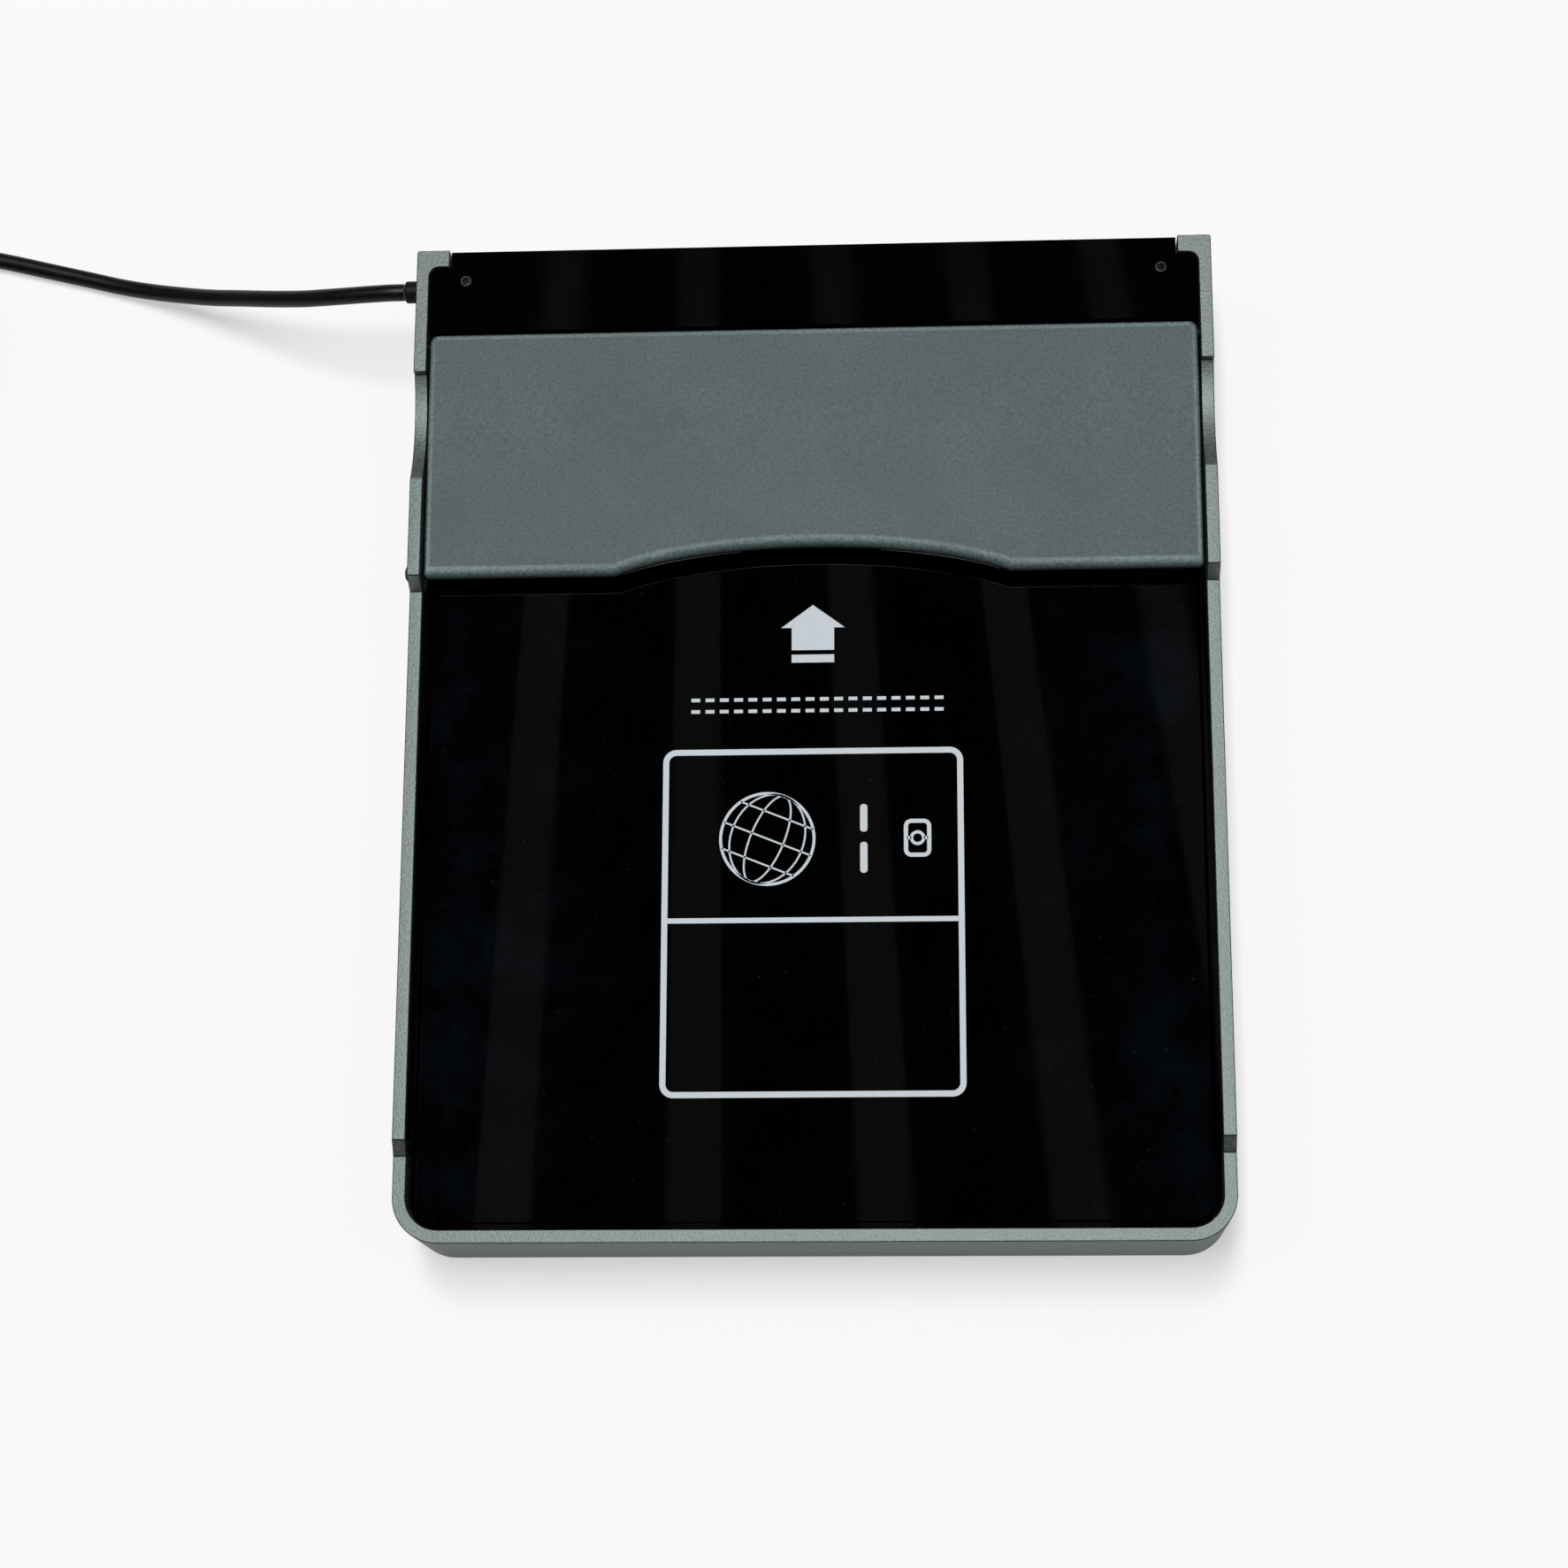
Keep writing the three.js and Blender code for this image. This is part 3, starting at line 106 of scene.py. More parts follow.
def join_rings(shape, rings):
    """Quads between neighbouring rings of vertices."""
    for low, high in zip(rings, rings[1:]):
        for i in range(len(low)):
            j = (i + 1) % len(low)
            shape.faces.new((low[i], low[j], high[j], high[i]))


def smooth_quads(shape, sharp_angle):
    """Quads are shaded smooth, apart from the edges where they turn by more than sharp_angle degrees."""
    for face in shape.faces:
        face.smooth = len(face.verts) == 4
    for edge in shape.edges:
        if len(edge.link_faces) == 2 and edge.calc_face_angle() > math.radians(sharp_angle):
            edge.smooth = False


def shape_object(shape, name, material, body, sharp_angle=None):
    """A closed bmesh as an object, with its faces turned outwards."""
    bmesh.ops.recalc_face_normals(shape, faces=shape.faces)
    if sharp_angle:
        smooth_quads(shape, sharp_angle)
    mesh = bpy.data.meshes.new(name)
    shape.to_mesh(mesh)
    shape.free()
    return new_object(name, mesh, material, body)


def tube(name, points, radius, resolution):
    """A round tube with closed ends along a line of points, as curve data. Its radius is in millimetres."""
    data = bpy.data.curves.new(name, "CURVE")
    data.dimensions = "3D"
    data.bevel_depth = radius * MM
    data.bevel_resolution = resolution
    data.use_fill_caps = True
    spline = data.splines.new("POLY")
    spline.points.add(len(points) - 1)
    for place, point in zip(spline.points, points):
        place.co = (*point, 1)
    return data


# Helpers for shader nodes

def add_node(tree, kind, inputs, **settings):
    """A node with the given settings. Each of its inputs is a value or the output of another node."""
    node = tree.nodes.new(kind)
    for key, value in settings.items():
        setattr(node, key, value)
    for key, value in inputs.items():
        if isinstance(value, bpy.types.NodeSocket):
            tree.links.new(value, node.inputs[key])
        else:
            node.inputs[key].default_value = value
    return node


def calculate(tree, operation, *values):
    """The result of a Math node on numbers or outputs of other nodes."""
    return add_node(tree, "ShaderNodeMath", dict(enumerate(values)), operation=operation).outputs[0]


def object_noise(tree, size_mm, detail, roughness=0.5, stretch=(1, 1, 1)):
    """Noise in the object's own metres whose blobs are about size_mm across."""
    place = tree.nodes.new("ShaderNodeTexCoord").outputs["Object"]
    scaled = add_node(tree, "ShaderNodeMapping", {"Vector": place, "Scale": stretch})
    noise = add_node(tree, "ShaderNodeTexNoise", {
        "Vector": scaled.outputs["Vector"],
        "Scale": 1 / (size_mm * MM),
        "Detail": detail,
        "Roughness": roughness,
    })
    return noise.outputs["Fac"]


def ramp(tree, value, low, high, color_low, color_high):
    """A colour that changes from the first to the second while the value goes from low to high."""
    node = add_node(tree, "ShaderNodeValToRGB", {"Fac": value})
    first, last = node.color_ramp.elements
    first.position = low
    first.color = (*color_low, 1)
    last.position = high
    last.color = (*color_high, 1)
    return node.outputs["Color"]


def spread(tree, value, low, high, to_low, to_high):
    """A number that changes from to_low to to_high while the value goes from low to high."""
    node = add_node(tree, "ShaderNodeMapRange", {
        "Value": value,
        "From Min": low,
        "From Max": high,
        "To Min": to_low,
        "To Max": to_high,
    })
    return node.outputs["Result"]


def blend(tree, kind, first, second):
    """Two colours multiplied or added, after the blend type."""
    inputs = {"Factor": 1, "A": first, "B": second}
    return add_node(tree, "ShaderNodeMix", inputs, data_type="RGBA", blend_type=kind).outputs["Result"]


def seen_directly(tree):
    """1 for what the camera sees straight, in a mirror or through glass, 0 for light on surfaces."""
    path = tree.nodes.new("ShaderNodeLightPath")
    mirrored = calculate(tree, "MAXIMUM", path.outputs["Is Camera Ray"], path.outputs["Is Glossy Ray"])
    return calculate(tree, "MAXIMUM", mirrored, path.outputs["Is Transmission Ray"])


def shade(color, factor):
    return tuple(channel * factor for channel in color)


def grey(tone):
    return (tone, tone, tone)


# Kinds of material

# Noise nodes give values of about NOISE_LOW to NOISE_HIGH. Roughness changes by GRAIN_GLOSS over a grained
# surface and by PLAIN_GLOSS of itself over a plain one. Grained surfaces have clouds of CLOUD_MM.
NOISE_LOW = 0.3
NOISE_HIGH = 0.7
CLOUD_MM = 18
GRAIN_GLOSS = 0.05
PLAIN_GLOSS = 0.15

# Polished black: wiping marks along the bed, bluish smudges mostly beside its edges, and dust. A pair that
# ends in _NOISE says between which values of its noise they fade in.
WIPE_MM = 30
WIPE_STRETCH = (1, 0.35, 1)
WIPE_NOISE = (0.35, 0.75)
WIPE_ROUGHER = 3
SMUDGE_MM = 14
SMUDGE_NOISE = (0.44, 0.70)
SMUDGE_CALM_MM = 30
SMUDGE_FULL_MM = 70
SMUDGE_IN_MIDDLE = 0.15
DUST_MM = 1.0
DUST_NOISE = (0.74, 0.77)


def principled(name, color, roughness, metallic=0.0, specular=0.5, tint=(1, 1, 1)):
    """A material, its node tree and its shader."""
    material = bpy.data.materials.new(name)
    material.use_nodes = True
    tree = material.node_tree
    shader = tree.nodes["Principled BSDF"]
    shader.inputs["Base Color"].default_value = (*color, 1)
    shader.inputs["Roughness"].default_value = roughness
    shader.inputs["Metallic"].default_value = metallic
    shader.inputs["Specular IOR Level"].default_value = specular
    shader.inputs["Specular Tint"].default_value = (*tint, 1)
    return material, tree, shader


def grained(name, color, roughness, grain_mm, grain_depth_mm, mottle=0.06, fleck=0.1, **more):
    """Plastic or paint with a fine grain, a soft cloud of tone and a small bump."""
    material, tree, shader = principled(name, color, roughness, **more)
    fine = object_noise(tree, grain_mm, detail=3, roughness=0.6)
    broad = object_noise(tree, CLOUD_MM, detail=3, roughness=0.55)
    flecks = ramp(tree, fine, NOISE_LOW, NOISE_HIGH, shade(color, 1 - fleck), shade(color, 1 + fleck))
    clouds = ramp(tree, broad, NOISE_LOW, NOISE_HIGH, grey(1 - mottle), grey(1 + mottle))
    gloss = spread(tree, fine, NOISE_LOW, NOISE_HIGH, roughness - GRAIN_GLOSS, roughness + GRAIN_GLOSS)
    grain = add_node(tree, "ShaderNodeBump", {
        "Height": fine,
        "Strength": 1,
        "Distance": grain_depth_mm * MM,
    })
    tree.links.new(blend(tree, "MULTIPLY", flecks, clouds), shader.inputs["Base Color"])
    tree.links.new(gloss, shader.inputs["Roughness"])
    tree.links.new(grain.outputs["Normal"], shader.inputs["Normal"])
    return material


def plain(name, color, roughness, tone=0.08, size_mm=3.0, **more):
    """A smooth moulded or metal surface with a slight change of tone and gloss over it."""
    material, tree, shader = principled(name, color, roughness, **more)
    noise = object_noise(tree, size_mm, detail=3)
    tones = ramp(tree, noise, NOISE_LOW, NOISE_HIGH, shade(color, 1 - tone), shade(color, 1 + tone))
    rougher = roughness * (1 + PLAIN_GLOSS)
    gloss = spread(tree, noise, NOISE_LOW, NOISE_HIGH, roughness * (1 - PLAIN_GLOSS), rougher)
    tree.links.new(tones, shader.inputs["Base Color"])
    tree.links.new(gloss, shader.inputs["Roughness"])
    return material


def beside_bed_edges(tree):
    """White beside the long edges of the bed and dark grey in its middle."""
    place = tree.nodes.new("ShaderNodeTexCoord").outputs["Object"]
    across = add_node(tree, "ShaderNodeSeparateXYZ", {"Vector": place}).outputs["X"]
    away = calculate(tree, "ABSOLUTE", calculate(tree, "SUBTRACT", across, MIDDLE_X))
    share = spread(tree, away, SMUDGE_CALM_MM * MM, SMUDGE_FULL_MM * MM, 0, 1)
    return ramp(tree, share, 0, 1, grey(SMUDGE_IN_MIDDLE), grey(1))


def glossy_black(name, color, roughness, smudge, dust):
    """Polished black with faint wiping marks, bluish smudges and specks of dust."""
    material, tree, shader = principled(name, color, roughness)
    marks = object_noise(tree, WIPE_MM, detail=6, roughness=0.65, stretch=WIPE_STRETCH)
    gloss = spread(tree, marks, *WIPE_NOISE, roughness, roughness * WIPE_ROUGHER)
    patches = object_noise(tree, SMUDGE_MM, detail=8, roughness=0.7)
    smudges = ramp(tree, patches, *SMUDGE_NOISE, color, smudge)
    specks = object_noise(tree, DUST_MM, detail=2, roughness=0.4)
    dots = ramp(tree, specks, *DUST_NOISE, grey(0), dust)
    tones = blend(tree, "MULTIPLY", smudges, beside_bed_edges(tree))
    tree.links.new(gloss, shader.inputs["Roughness"])
    tree.links.new(blend(tree, "ADD", tones, dots), shader.inputs["Base Color"])
    return material


def tone_by_painted_light_and_shade(material):
    """Scales the paint by a vertex attribute of painted light: painted highlights along the rounded edges,
    painted shade at their foot.
    """
    tree = material.node_tree
    color = tree.nodes["Principled BSDF"].inputs["Base Color"]
    painted_light_and_shade = tree.nodes.new("ShaderNodeAttribute")
    painted_light_and_shade.attribute_name = "painted_light_and_shade"
    inputs = {"Vector": color.links[0].from_socket, "Scale": painted_light_and_shade.outputs["Fac"]}
    scaled = add_node(tree, "ShaderNodeVectorMath", inputs, operation="SCALE")
    tree.links.new(scaled.outputs["Vector"], color)


# Materials

ANODISED = grained(
    "metallic_grey", color=(0.165, 0.197, 0.192), roughness=0.47, metallic=0.7, tint=(0.44, 0.42, 0.40),
    grain_mm=0.5, grain_depth_mm=0.07, mottle=0.03, fleck=0.3,
)
# A darker copy of the frame's metal for its bevels: painted shade along the frame's edges
ANODISED_PAINTED_EDGE_SHADE = grained(
    "metallic_grey_painted_edge_shade", color=(0.035, 0.042, 0.041), roughness=0.55, metallic=0.6,
    grain_mm=0.5, grain_depth_mm=0.03, mottle=0.03, fleck=0.2,
)
COVER_PAINT = grained(
    "cover_paint", color=(0.066, 0.093, 0.094), roughness=0.55, specular=0.3,
    grain_mm=0.6, grain_depth_mm=0.06, mottle=0.08, fleck=0.4,
)
# The cover's paint gets painted highlights along its rounded edges and painted shade at their foot
tone_by_painted_light_and_shade(COVER_PAINT)
GLOSS_BLACK = glossy_black(
    "gloss_black", color=(0.0012, 0.0012, 0.0013), roughness=0.025,
    smudge=(0.004, 0.006, 0.007), dust=(0.01, 0.01, 0.01),
)
GLASS_BLACK = glossy_black(
    "glass_black", color=(0.0008, 0.0008, 0.0010), roughness=0.015,
    smudge=(0.012, 0.022, 0.036), dust=(0.05, 0.055, 0.06),
)
BUTTON_BLACK = grained(
    "button_black", color=(0.005, 0.005, 0.0055), roughness=0.6, specular=0.1,
    grain_mm=0.4, grain_depth_mm=0.01,
)
COLLAR_BLACK = grained(
    "collar_black", color=(0.005, 0.005, 0.0055), roughness=0.5, specular=0.1,
    grain_mm=0.4, grain_depth_mm=0.01,
)
BASE_BLACK = grained(
    "base_black", color=(0.018, 0.019, 0.02), roughness=0.55,
    grain_mm=0.6, grain_depth_mm=0.03, mottle=0.05, fleck=0.12,
)
RUBBER = grained(
    "foot_rubber", color=(0.022, 0.022, 0.022), roughness=0.85,
    grain_mm=0.4, grain_depth_mm=0.03, mottle=0.1, fleck=0.15,
)
TIE_BLACK = grained(
    "tie_black", color=(0.02, 0.02, 0.021), roughness=0.8,
    grain_mm=0.5, grain_depth_mm=0.05, mottle=0.1, fleck=0.3,
)
CHIP_BLACK = grained(
    "chip_black", color=(0.012, 0.012, 0.013), roughness=0.5,
    grain_mm=0.3, grain_depth_mm=0.01,
)
PRINT_SILVER = grained(
    "print_silver", color=(0.53, 0.58, 0.62), roughness=0.6,
    grain_mm=0.25, grain_depth_mm=0.0, mottle=0.02, fleck=0.04,
)
PIN_DARK = plain("pin_dark", color=(0.006, 0.006, 0.0065), roughness=0.6, specular=0.1)
LINING_BLACK = plain("lining_black", color=(0.006, 0.006, 0.006), roughness=0.5, specular=0.2)
# A light colour for the thin tubes at the lining's edge: a painted highlight of its polished black
LINING_PAINTED_HIGHLIGHT = plain("lining_painted_highlight", color=(0.13, 0.12, 0.10), roughness=0.5)
CORD_BLACK = plain(
    "cord_black", color=(0.004, 0.004, 0.0045), roughness=0.36, specular=0.18, tone=0.15, size_mm=2.0,
)
STEEL = plain("steel", color=(0.55, 0.56, 0.58), roughness=0.28, metallic=1.0)
MIRROR = plain("mirror_silver", color=(0.85, 0.87, 0.88), roughness=0.03, metallic=1.0, tone=0.02)
BOARD_GREEN = plain("board_green", color=(0.015, 0.09, 0.035), roughness=0.4)
WHITE_PLASTIC = plain("white_plastic", color=(0.75, 0.76, 0.77), roughness=0.45)
LENS = plain("lens_dark", color=(0.003, 0.0035, 0.004), roughness=0.08)
RING = plain("ring_grey", color=(0.008, 0.008, 0.009), roughness=0.45, specular=0.25)

# Materials of single nodes, and of the record's slots for all the others

OWN_MATERIALS = {
    "hinge_pin_left": PIN_DARK,
    "hinge_pin_right": PIN_DARK,
    "side_button": BUTTON_BLACK,
    "cord_collar": COLLAR_BLACK,
}
SLOT_MATERIALS = {
    "frame_grey": ANODISED,
    "cover_grey": COVER_PAINT,
    "housing_black": GLOSS_BLACK,
    "lining_black": LINING_BLACK,
    "glass_black": GLASS_BLACK,
    "base_black": BASE_BLACK,
    "foot_rubber": RUBBER,
    "cord_black": CORD_BLACK,
    "tape_black": TIE_BLACK,
    "steel": STEEL,
    "board_green": BOARD_GREEN,
    "chip_black": CHIP_BLACK,
    "mirror_silver": MIRROR,
    "plastic_white": WHITE_PLASTIC,
    "lens_clear": LENS,
}


# Camera

# Solved from the photograph's edges. Angles here and below are in degrees.
PHOTO_PIXELS = 1773
FOCAL_PIXELS = 3704
SENSOR_MM = 36
CAMERA_MM = (30.9, -165.0, 627.5)
CAMERA_TILT = (14.36, 3.40, 0.18)
CLIP_START = 0.01
CLIP_END = 50


def make_camera():
    data = bpy.data.cameras.new("camera")
    data.sensor_width = SENSOR_MM
    data.lens = FOCAL_PIXELS / PHOTO_PIXELS * SENSOR_MM
    data.clip_start = CLIP_START
    data.clip_end = CLIP_END
    camera = bpy.data.objects.new("camera", data)
    camera.location = at(*CAMERA_MM)
    camera.rotation_euler = [math.radians(angle) for angle in CAMERA_TILT]
    bpy.context.scene.collection.objects.link(camera)
    bpy.context.scene.camera = camera
    bpy.context.scene.view_settings.view_transform = "Standard"


# Lamps

# In metres. A share says how much of full white the lamp alone gives a white level surface.
SOFTBOX_SHARE = 0.83
SOFTBOX_PLACE = (-0.42, 0.95, 6.0)
SOFTBOX_SIZE = (0.9, 2.9)
SIDE_SHARE = 0.045
SIDE_ZENITH = 31
REAR_SHARE = 0.02
REAR_ZENITH = 40
LAMP_SPREAD = 28

# The softbox leaves out the black nodes at the bed, so that they mirror no bright box, and the metallic
# frame, which has a weaker one of its own
SHADED_FROM_SOFTBOX = ("document_glass", "inner_housing", "cover_lining", "outer_frame")
FRAME_SHARE = 0.55
FRAME_SOFTBOX_PLACE = (0.0, 1.1, 6.0)

# Dim light strips that the glass mirrors, on a slope above and behind the reader
STRIP_COUNT = 5
STRIP_FIRST = -0.186
STRIP_STEP = 0.0786
STRIP_WIDTH = 0.023
STRIP_LENGTH = 0.9
STRIP_MIDDLE = (0.0, 0.309, 0.991)
STRIP_AHEAD = (-0.0548, 0.7932, 0.6065)
STRIP_POWER = 0.005


def add_sun(name, share, zenith, azimuth):
    """A soft sun that gives a level surface its share of white. Azimuth 0 is at the rear, 90 at the right."""
    tilt = math.radians(zenith)
    turn = math.radians(azimuth)
    data = bpy.data.lights.new(name, "SUN")
    data.energy = share * math.pi / math.cos(tilt)
    data.angle = math.radians(LAMP_SPREAD)
    lamp = bpy.data.objects.new(name, data)
    towards = Vector((math.sin(tilt) * math.sin(turn), math.sin(tilt) * math.cos(turn), math.cos(tilt)))
    lamp.rotation_euler = towards.to_track_quat("Z", "Y").to_euler()
    lamp.location = towards
    bpy.context.scene.collection.objects.link(lamp)


def add_panel(name, place, ahead, size, power):
    """A rectangular lamp whose long side runs along ahead. It shines from its lower face."""
    data = bpy.data.lights.new(name, "AREA")
    data.shape = "RECTANGLE"
    data.size, data.size_y = size
    data.energy = power
    along = Vector(ahead).normalized()
    across = (Vector((1, 0, 0)) - along * along.x).normalized()
    up = across.cross(along)
    lamp = bpy.data.objects.new(name, data)
    lamp.matrix_world = Matrix.Translation(place) @ Matrix((across, along, up)).transposed().to_4x4()
    lamp.visible_camera = False
    bpy.context.scene.collection.objects.link(lamp)
    return lamp


def add_softbox(name, place, share, nodes, link_state):
    """A softbox that lights a level surface at its share of white, for or without some nodes."""
    distance = Vector(place).length
    cosine = place[2] / distance
    power = share * (math.pi * distance / cosine) ** 2
    softbox = add_panel(name, place, (0, 1, 0), SOFTBOX_SIZE, power)
    receivers = bpy.data.collections.new(f"{name}_receivers")
    softbox.light_linking.receiver_collection = receivers
    for node in nodes:
        receivers.objects.link(frame["nodes"][node])
    for entry in receivers.collection_objects:
        entry.light_linking.link_state = link_state


def add_strips():
    for i in range(STRIP_COUNT):
        place = Vector(STRIP_MIDDLE) + Vector((MIDDLE_X + STRIP_FIRST + STRIP_STEP * i, 0, 0))
        add_panel(f"strip_{i + 1}", place, STRIP_AHEAD, (STRIP_WIDTH, STRIP_LENGTH), STRIP_POWER)


def make_lamps():
    add_softbox("softbox", SOFTBOX_PLACE, SOFTBOX_SHARE, SHADED_FROM_SOFTBOX, "EXCLUDE")
    add_softbox("frame_softbox", FRAME_SOFTBOX_PLACE, FRAME_SHARE, ["outer_frame"], "INCLUDE")
    add_sun("left_lamp", SIDE_SHARE, SIDE_ZENITH, azimuth=-90)
    add_sun("right_lamp", SIDE_SHARE, SIDE_ZENITH, azimuth=90)
    add_sun("rear_lamp", REAR_SHARE, REAR_ZENITH, azimuth=0)
    add_strips()


# Room and floor

# The room is dim for the light on surfaces and a white backdrop for the camera. Gloss mirrors BACKDROP_SHEEN
# of that white from the horizon up to the angle BAND_FULL, and CEILING_SHEEN of it from BAND_TOP on.
ROOM_COLOR = (0.8, 0.8, 0.8)
ROOM_SHARE = 0.06
BACKDROP_WHITE = (0.98, 0.98, 0.975)
BACKDROP_SHEEN = 0.8
CEILING_SHEEN = 0.008
BAND_FULL = 4
BAND_TOP = 12

# What the camera sees of the floor glows, by FLOOR_GLOW up to GLOW_START metres away, and from GLOW_END on
# the floor is as white as the backdrop. It lies FLOOR_BELOW_MM lower than the feet's soles.
FLOOR_COLOR = (0.95, 0.95, 0.94)
FLOOR_BOUNCE = (0.6, 0.6, 0.595)
FLOOR_ROUGHNESS = 0.9
FLOOR_RADIUS = 25
FLOOR_SIDES = 96
FLOOR_BELOW_MM = 0.02
FLOOR_GLOW = 0.52
GLOW_START = 0.6
GLOW_END = 2.5


def make_world():
    """The dim room and its backdrop. The height of a direction is the sine of its angle."""
    world = bpy.data.worlds.new("studio")
    world.use_nodes = True
    bpy.context.scene.world = world
    tree = world.node_tree
    tree.nodes.clear()
    place = tree.nodes.new("ShaderNodeTexCoord").outputs["Generated"]
    height = add_node(tree, "ShaderNodeSeparateXYZ", {"Vector": place}).outputs["Z"]
    full, top = (math.sin(math.radians(angle)) for angle in (BAND_FULL, BAND_TOP))
    sheen = spread(tree, height, full, top, BACKDROP_SHEEN, CEILING_SHEEN)
    camera_ray = tree.nodes.new("ShaderNodeLightPath").outputs["Is Camera Ray"]
    strength = calculate(tree, "MAXIMUM", camera_ray, sheen)
    seen = add_node(tree, "ShaderNodeBackground", {"Color": (*BACKDROP_WHITE, 1), "Strength": strength})
    dim = add_node(tree, "ShaderNodeBackground", {"Color": (*ROOM_COLOR, 1), "Strength": ROOM_SHARE})
    inputs = {0: seen_directly(tree), 1: dim.outputs[0], 2: seen.outputs[0]}
    mix = add_node(tree, "ShaderNodeMixShader", inputs)
    add_node(tree, "ShaderNodeOutputWorld", {"Surface": mix.outputs[0]})


def floor_material():
    """White that glows for the camera and throws less light back than the camera sees in it."""
    material, tree, shader = principled("floor_white", FLOOR_COLOR, FLOOR_ROUGHNESS, specular=0.0)
    seen = seen_directly(tree)
    inputs = {"Factor": seen, "A": (*FLOOR_BOUNCE, 1), "B": (*FLOOR_COLOR, 1)}
    color = add_node(tree, "ShaderNodeMix", inputs, data_type="RGBA")
    tree.links.new(color.outputs["Result"], shader.inputs["Base Color"])
    place = tree.nodes.new("ShaderNodeTexCoord").outputs["Object"]
    away = add_node(tree, "ShaderNodeVectorMath", {0: place}, operation="LENGTH").outputs["Value"]
    share = calculate(tree, "MULTIPLY", seen, spread(tree, away, GLOW_START, GLOW_END, FLOOR_GLOW, 1))
    glow = add_node(tree, "ShaderNodeEmission", {"Color": (*BACKDROP_WHITE, 1), "Strength": 1})
    mix = add_node(tree, "ShaderNodeMixShader", {0: share, 1: shader.outputs[0], 2: glow.outputs[0]})
    tree.links.new(mix.outputs[0], tree.nodes["Material Output"].inputs["Surface"])
    return material


def make_floor():
    mesh = bpy.data.meshes.new("floor")
    shape = bmesh.new()
    bmesh.ops.create_circle(shape, cap_ends=True, segments=FLOOR_SIDES, radius=FLOOR_RADIUS)
    shape.to_mesh(mesh)
    shape.free()
    mesh.materials.append(floor_material())
    floor = bpy.data.objects.new("floor", mesh)
    floor.location.z = -FLOOR_BELOW_MM * MM
    bpy.context.scene.collection.objects.link(floor)


# Cord

# In millimetres: the route to the coil, the coil's turns and the tail to the plug, as one line. The coil's
# layers are spirals of COIL_TURNS each that run inwards and outwards alternately, COIL_EXTRA turns follow
# the last, and COIL_PITCH lies between turns and between layers.
CORD_RADIUS = 1.7
CORD_ROUTE = [
    (-81.4, 91.3, 25.2),
    (-85, 91.3, 25.1),
    (-90, 91.4, 24.3),
    (-96, 91.8, 22.6),
    (-103, 92.7, 19.8),
    (-110, 94.2, 16.5),
    (-117, 96, 12.9),
    (-124, 97.8, 9.3),
    (-131, 99.8, 6.1),
    (-138, 101.7, 3.7),
    (-145, 103.6, 2.2),
    (-152, 105.5, 1.8),
    (-160, 107.5, 1.75),
    (-168, 109.5, 1.75),
    (-176, 111.3, 1.75),
    (-184, 112.9, 1.85),
    (-190, 113.8, 2.2),
    (-195, 114.3, 2.45),
]
COIL_LAYERS = 4
COIL_TURNS = 2.5
COIL_EXTRA = 0.25
COIL_MIDDLE_RADIUS = 20.5
COIL_PITCH = 4.0
COIL_BOTTOM = 2.5
COIL_START = (-198.6, 114.4)
COIL_OUTER_RADIUS = COIL_MIDDLE_RADIUS + COIL_PITCH * COIL_TURNS / 2
LAYER_CLIMB = 0.25
TAIL_LENGTH = 34
TAIL_STRAIGHT = 3.4
PLUG_HEIGHT = 7.6
ROUTE_STEPS = 6
TURN_STEPS = 48
TAIL_STEPS = 24


def along_route(points, steps):
    """Points on a smooth curve through the given ones."""
    padded = [points[0] * 2 - points[1], *points, points[-1] * 2 - points[-2]]
    line = []
    for before, start, end, after in zip(padded, padded[1:], padded[2:], padded[3:]):
        slope = end - before
        bend = 2 * before - 5 * start + 4 * end - after
        twist = 3 * start - before - 3 * end + after
        for k in range(steps):
            t = k / steps
            line.append(0.5 * (2 * start + slope * t + bend * t * t + twist * t ** 3))
    line.append(points[-1])
    return line


def coil_point(turn):
    """The place after a number of turns from the coil's rear.

    The cord climbs to the next layer from LAYER_CLIMB turns before a layer's end to as many after it.
    """
    centre_x = COIL_START[0] - 2 * CORD_RADIUS
    centre_y = COIL_START[1] - COIL_OUTER_RADIUS
    layer = min(int(turn // COIL_TURNS), COIL_LAYERS - 1)
    within = turn - layer * COIL_TURNS
    inwards = within if layer % 2 == 0 else COIL_TURNS - within
    radius = COIL_OUTER_RADIUS - COIL_PITCH * inwards
    height = COIL_BOTTOM
    for k in range(1, COIL_LAYERS):
        change = k * COIL_TURNS
        height += COIL_PITCH * smoothstep(turn, change - LAYER_CLIMB, change + LAYER_CLIMB)
    angle = math.pi / 2 + 2 * math.pi * turn
    return at(centre_x + radius * math.cos(angle), centre_y + radius * math.sin(angle), height)


def tail_points(start):
    """From the coil forward to the plug, down to half the plug's height and straight at the end."""
    points = []
    for i in range(1, TAIL_STEPS + 1):
        along = TAIL_LENGTH * i / TAIL_STEPS
        fall = smoothstep(along, 0, TAIL_LENGTH - TAIL_STRAIGHT)
        height = start.z + (PLUG_HEIGHT / 2 * MM - start.z) * fall
        points.append(Vector((start.x, start.y - along * MM, height)))
    return points


def cord_line():
    coil_start = at(*COIL_START, COIL_BOTTOM)
    points = along_route([at(*point) for point in CORD_ROUTE] + [coil_start], ROUTE_STEPS)
    turns = COIL_LAYERS * COIL_TURNS + COIL_EXTRA
    steps = int(turns * TURN_STEPS)
    points += [coil_point(turns * i / steps) for i in range(steps + 1)]
    return points + tail_points(points[-1])


def make_cord():
    points = cord_line()
    line = tube("cord", points, CORD_RADIUS, resolution=5)
    cord = new_object("cord", line, CORD_BLACK, "reader")
    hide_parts("cord_tube", "cord_coil")


# CAD nodes

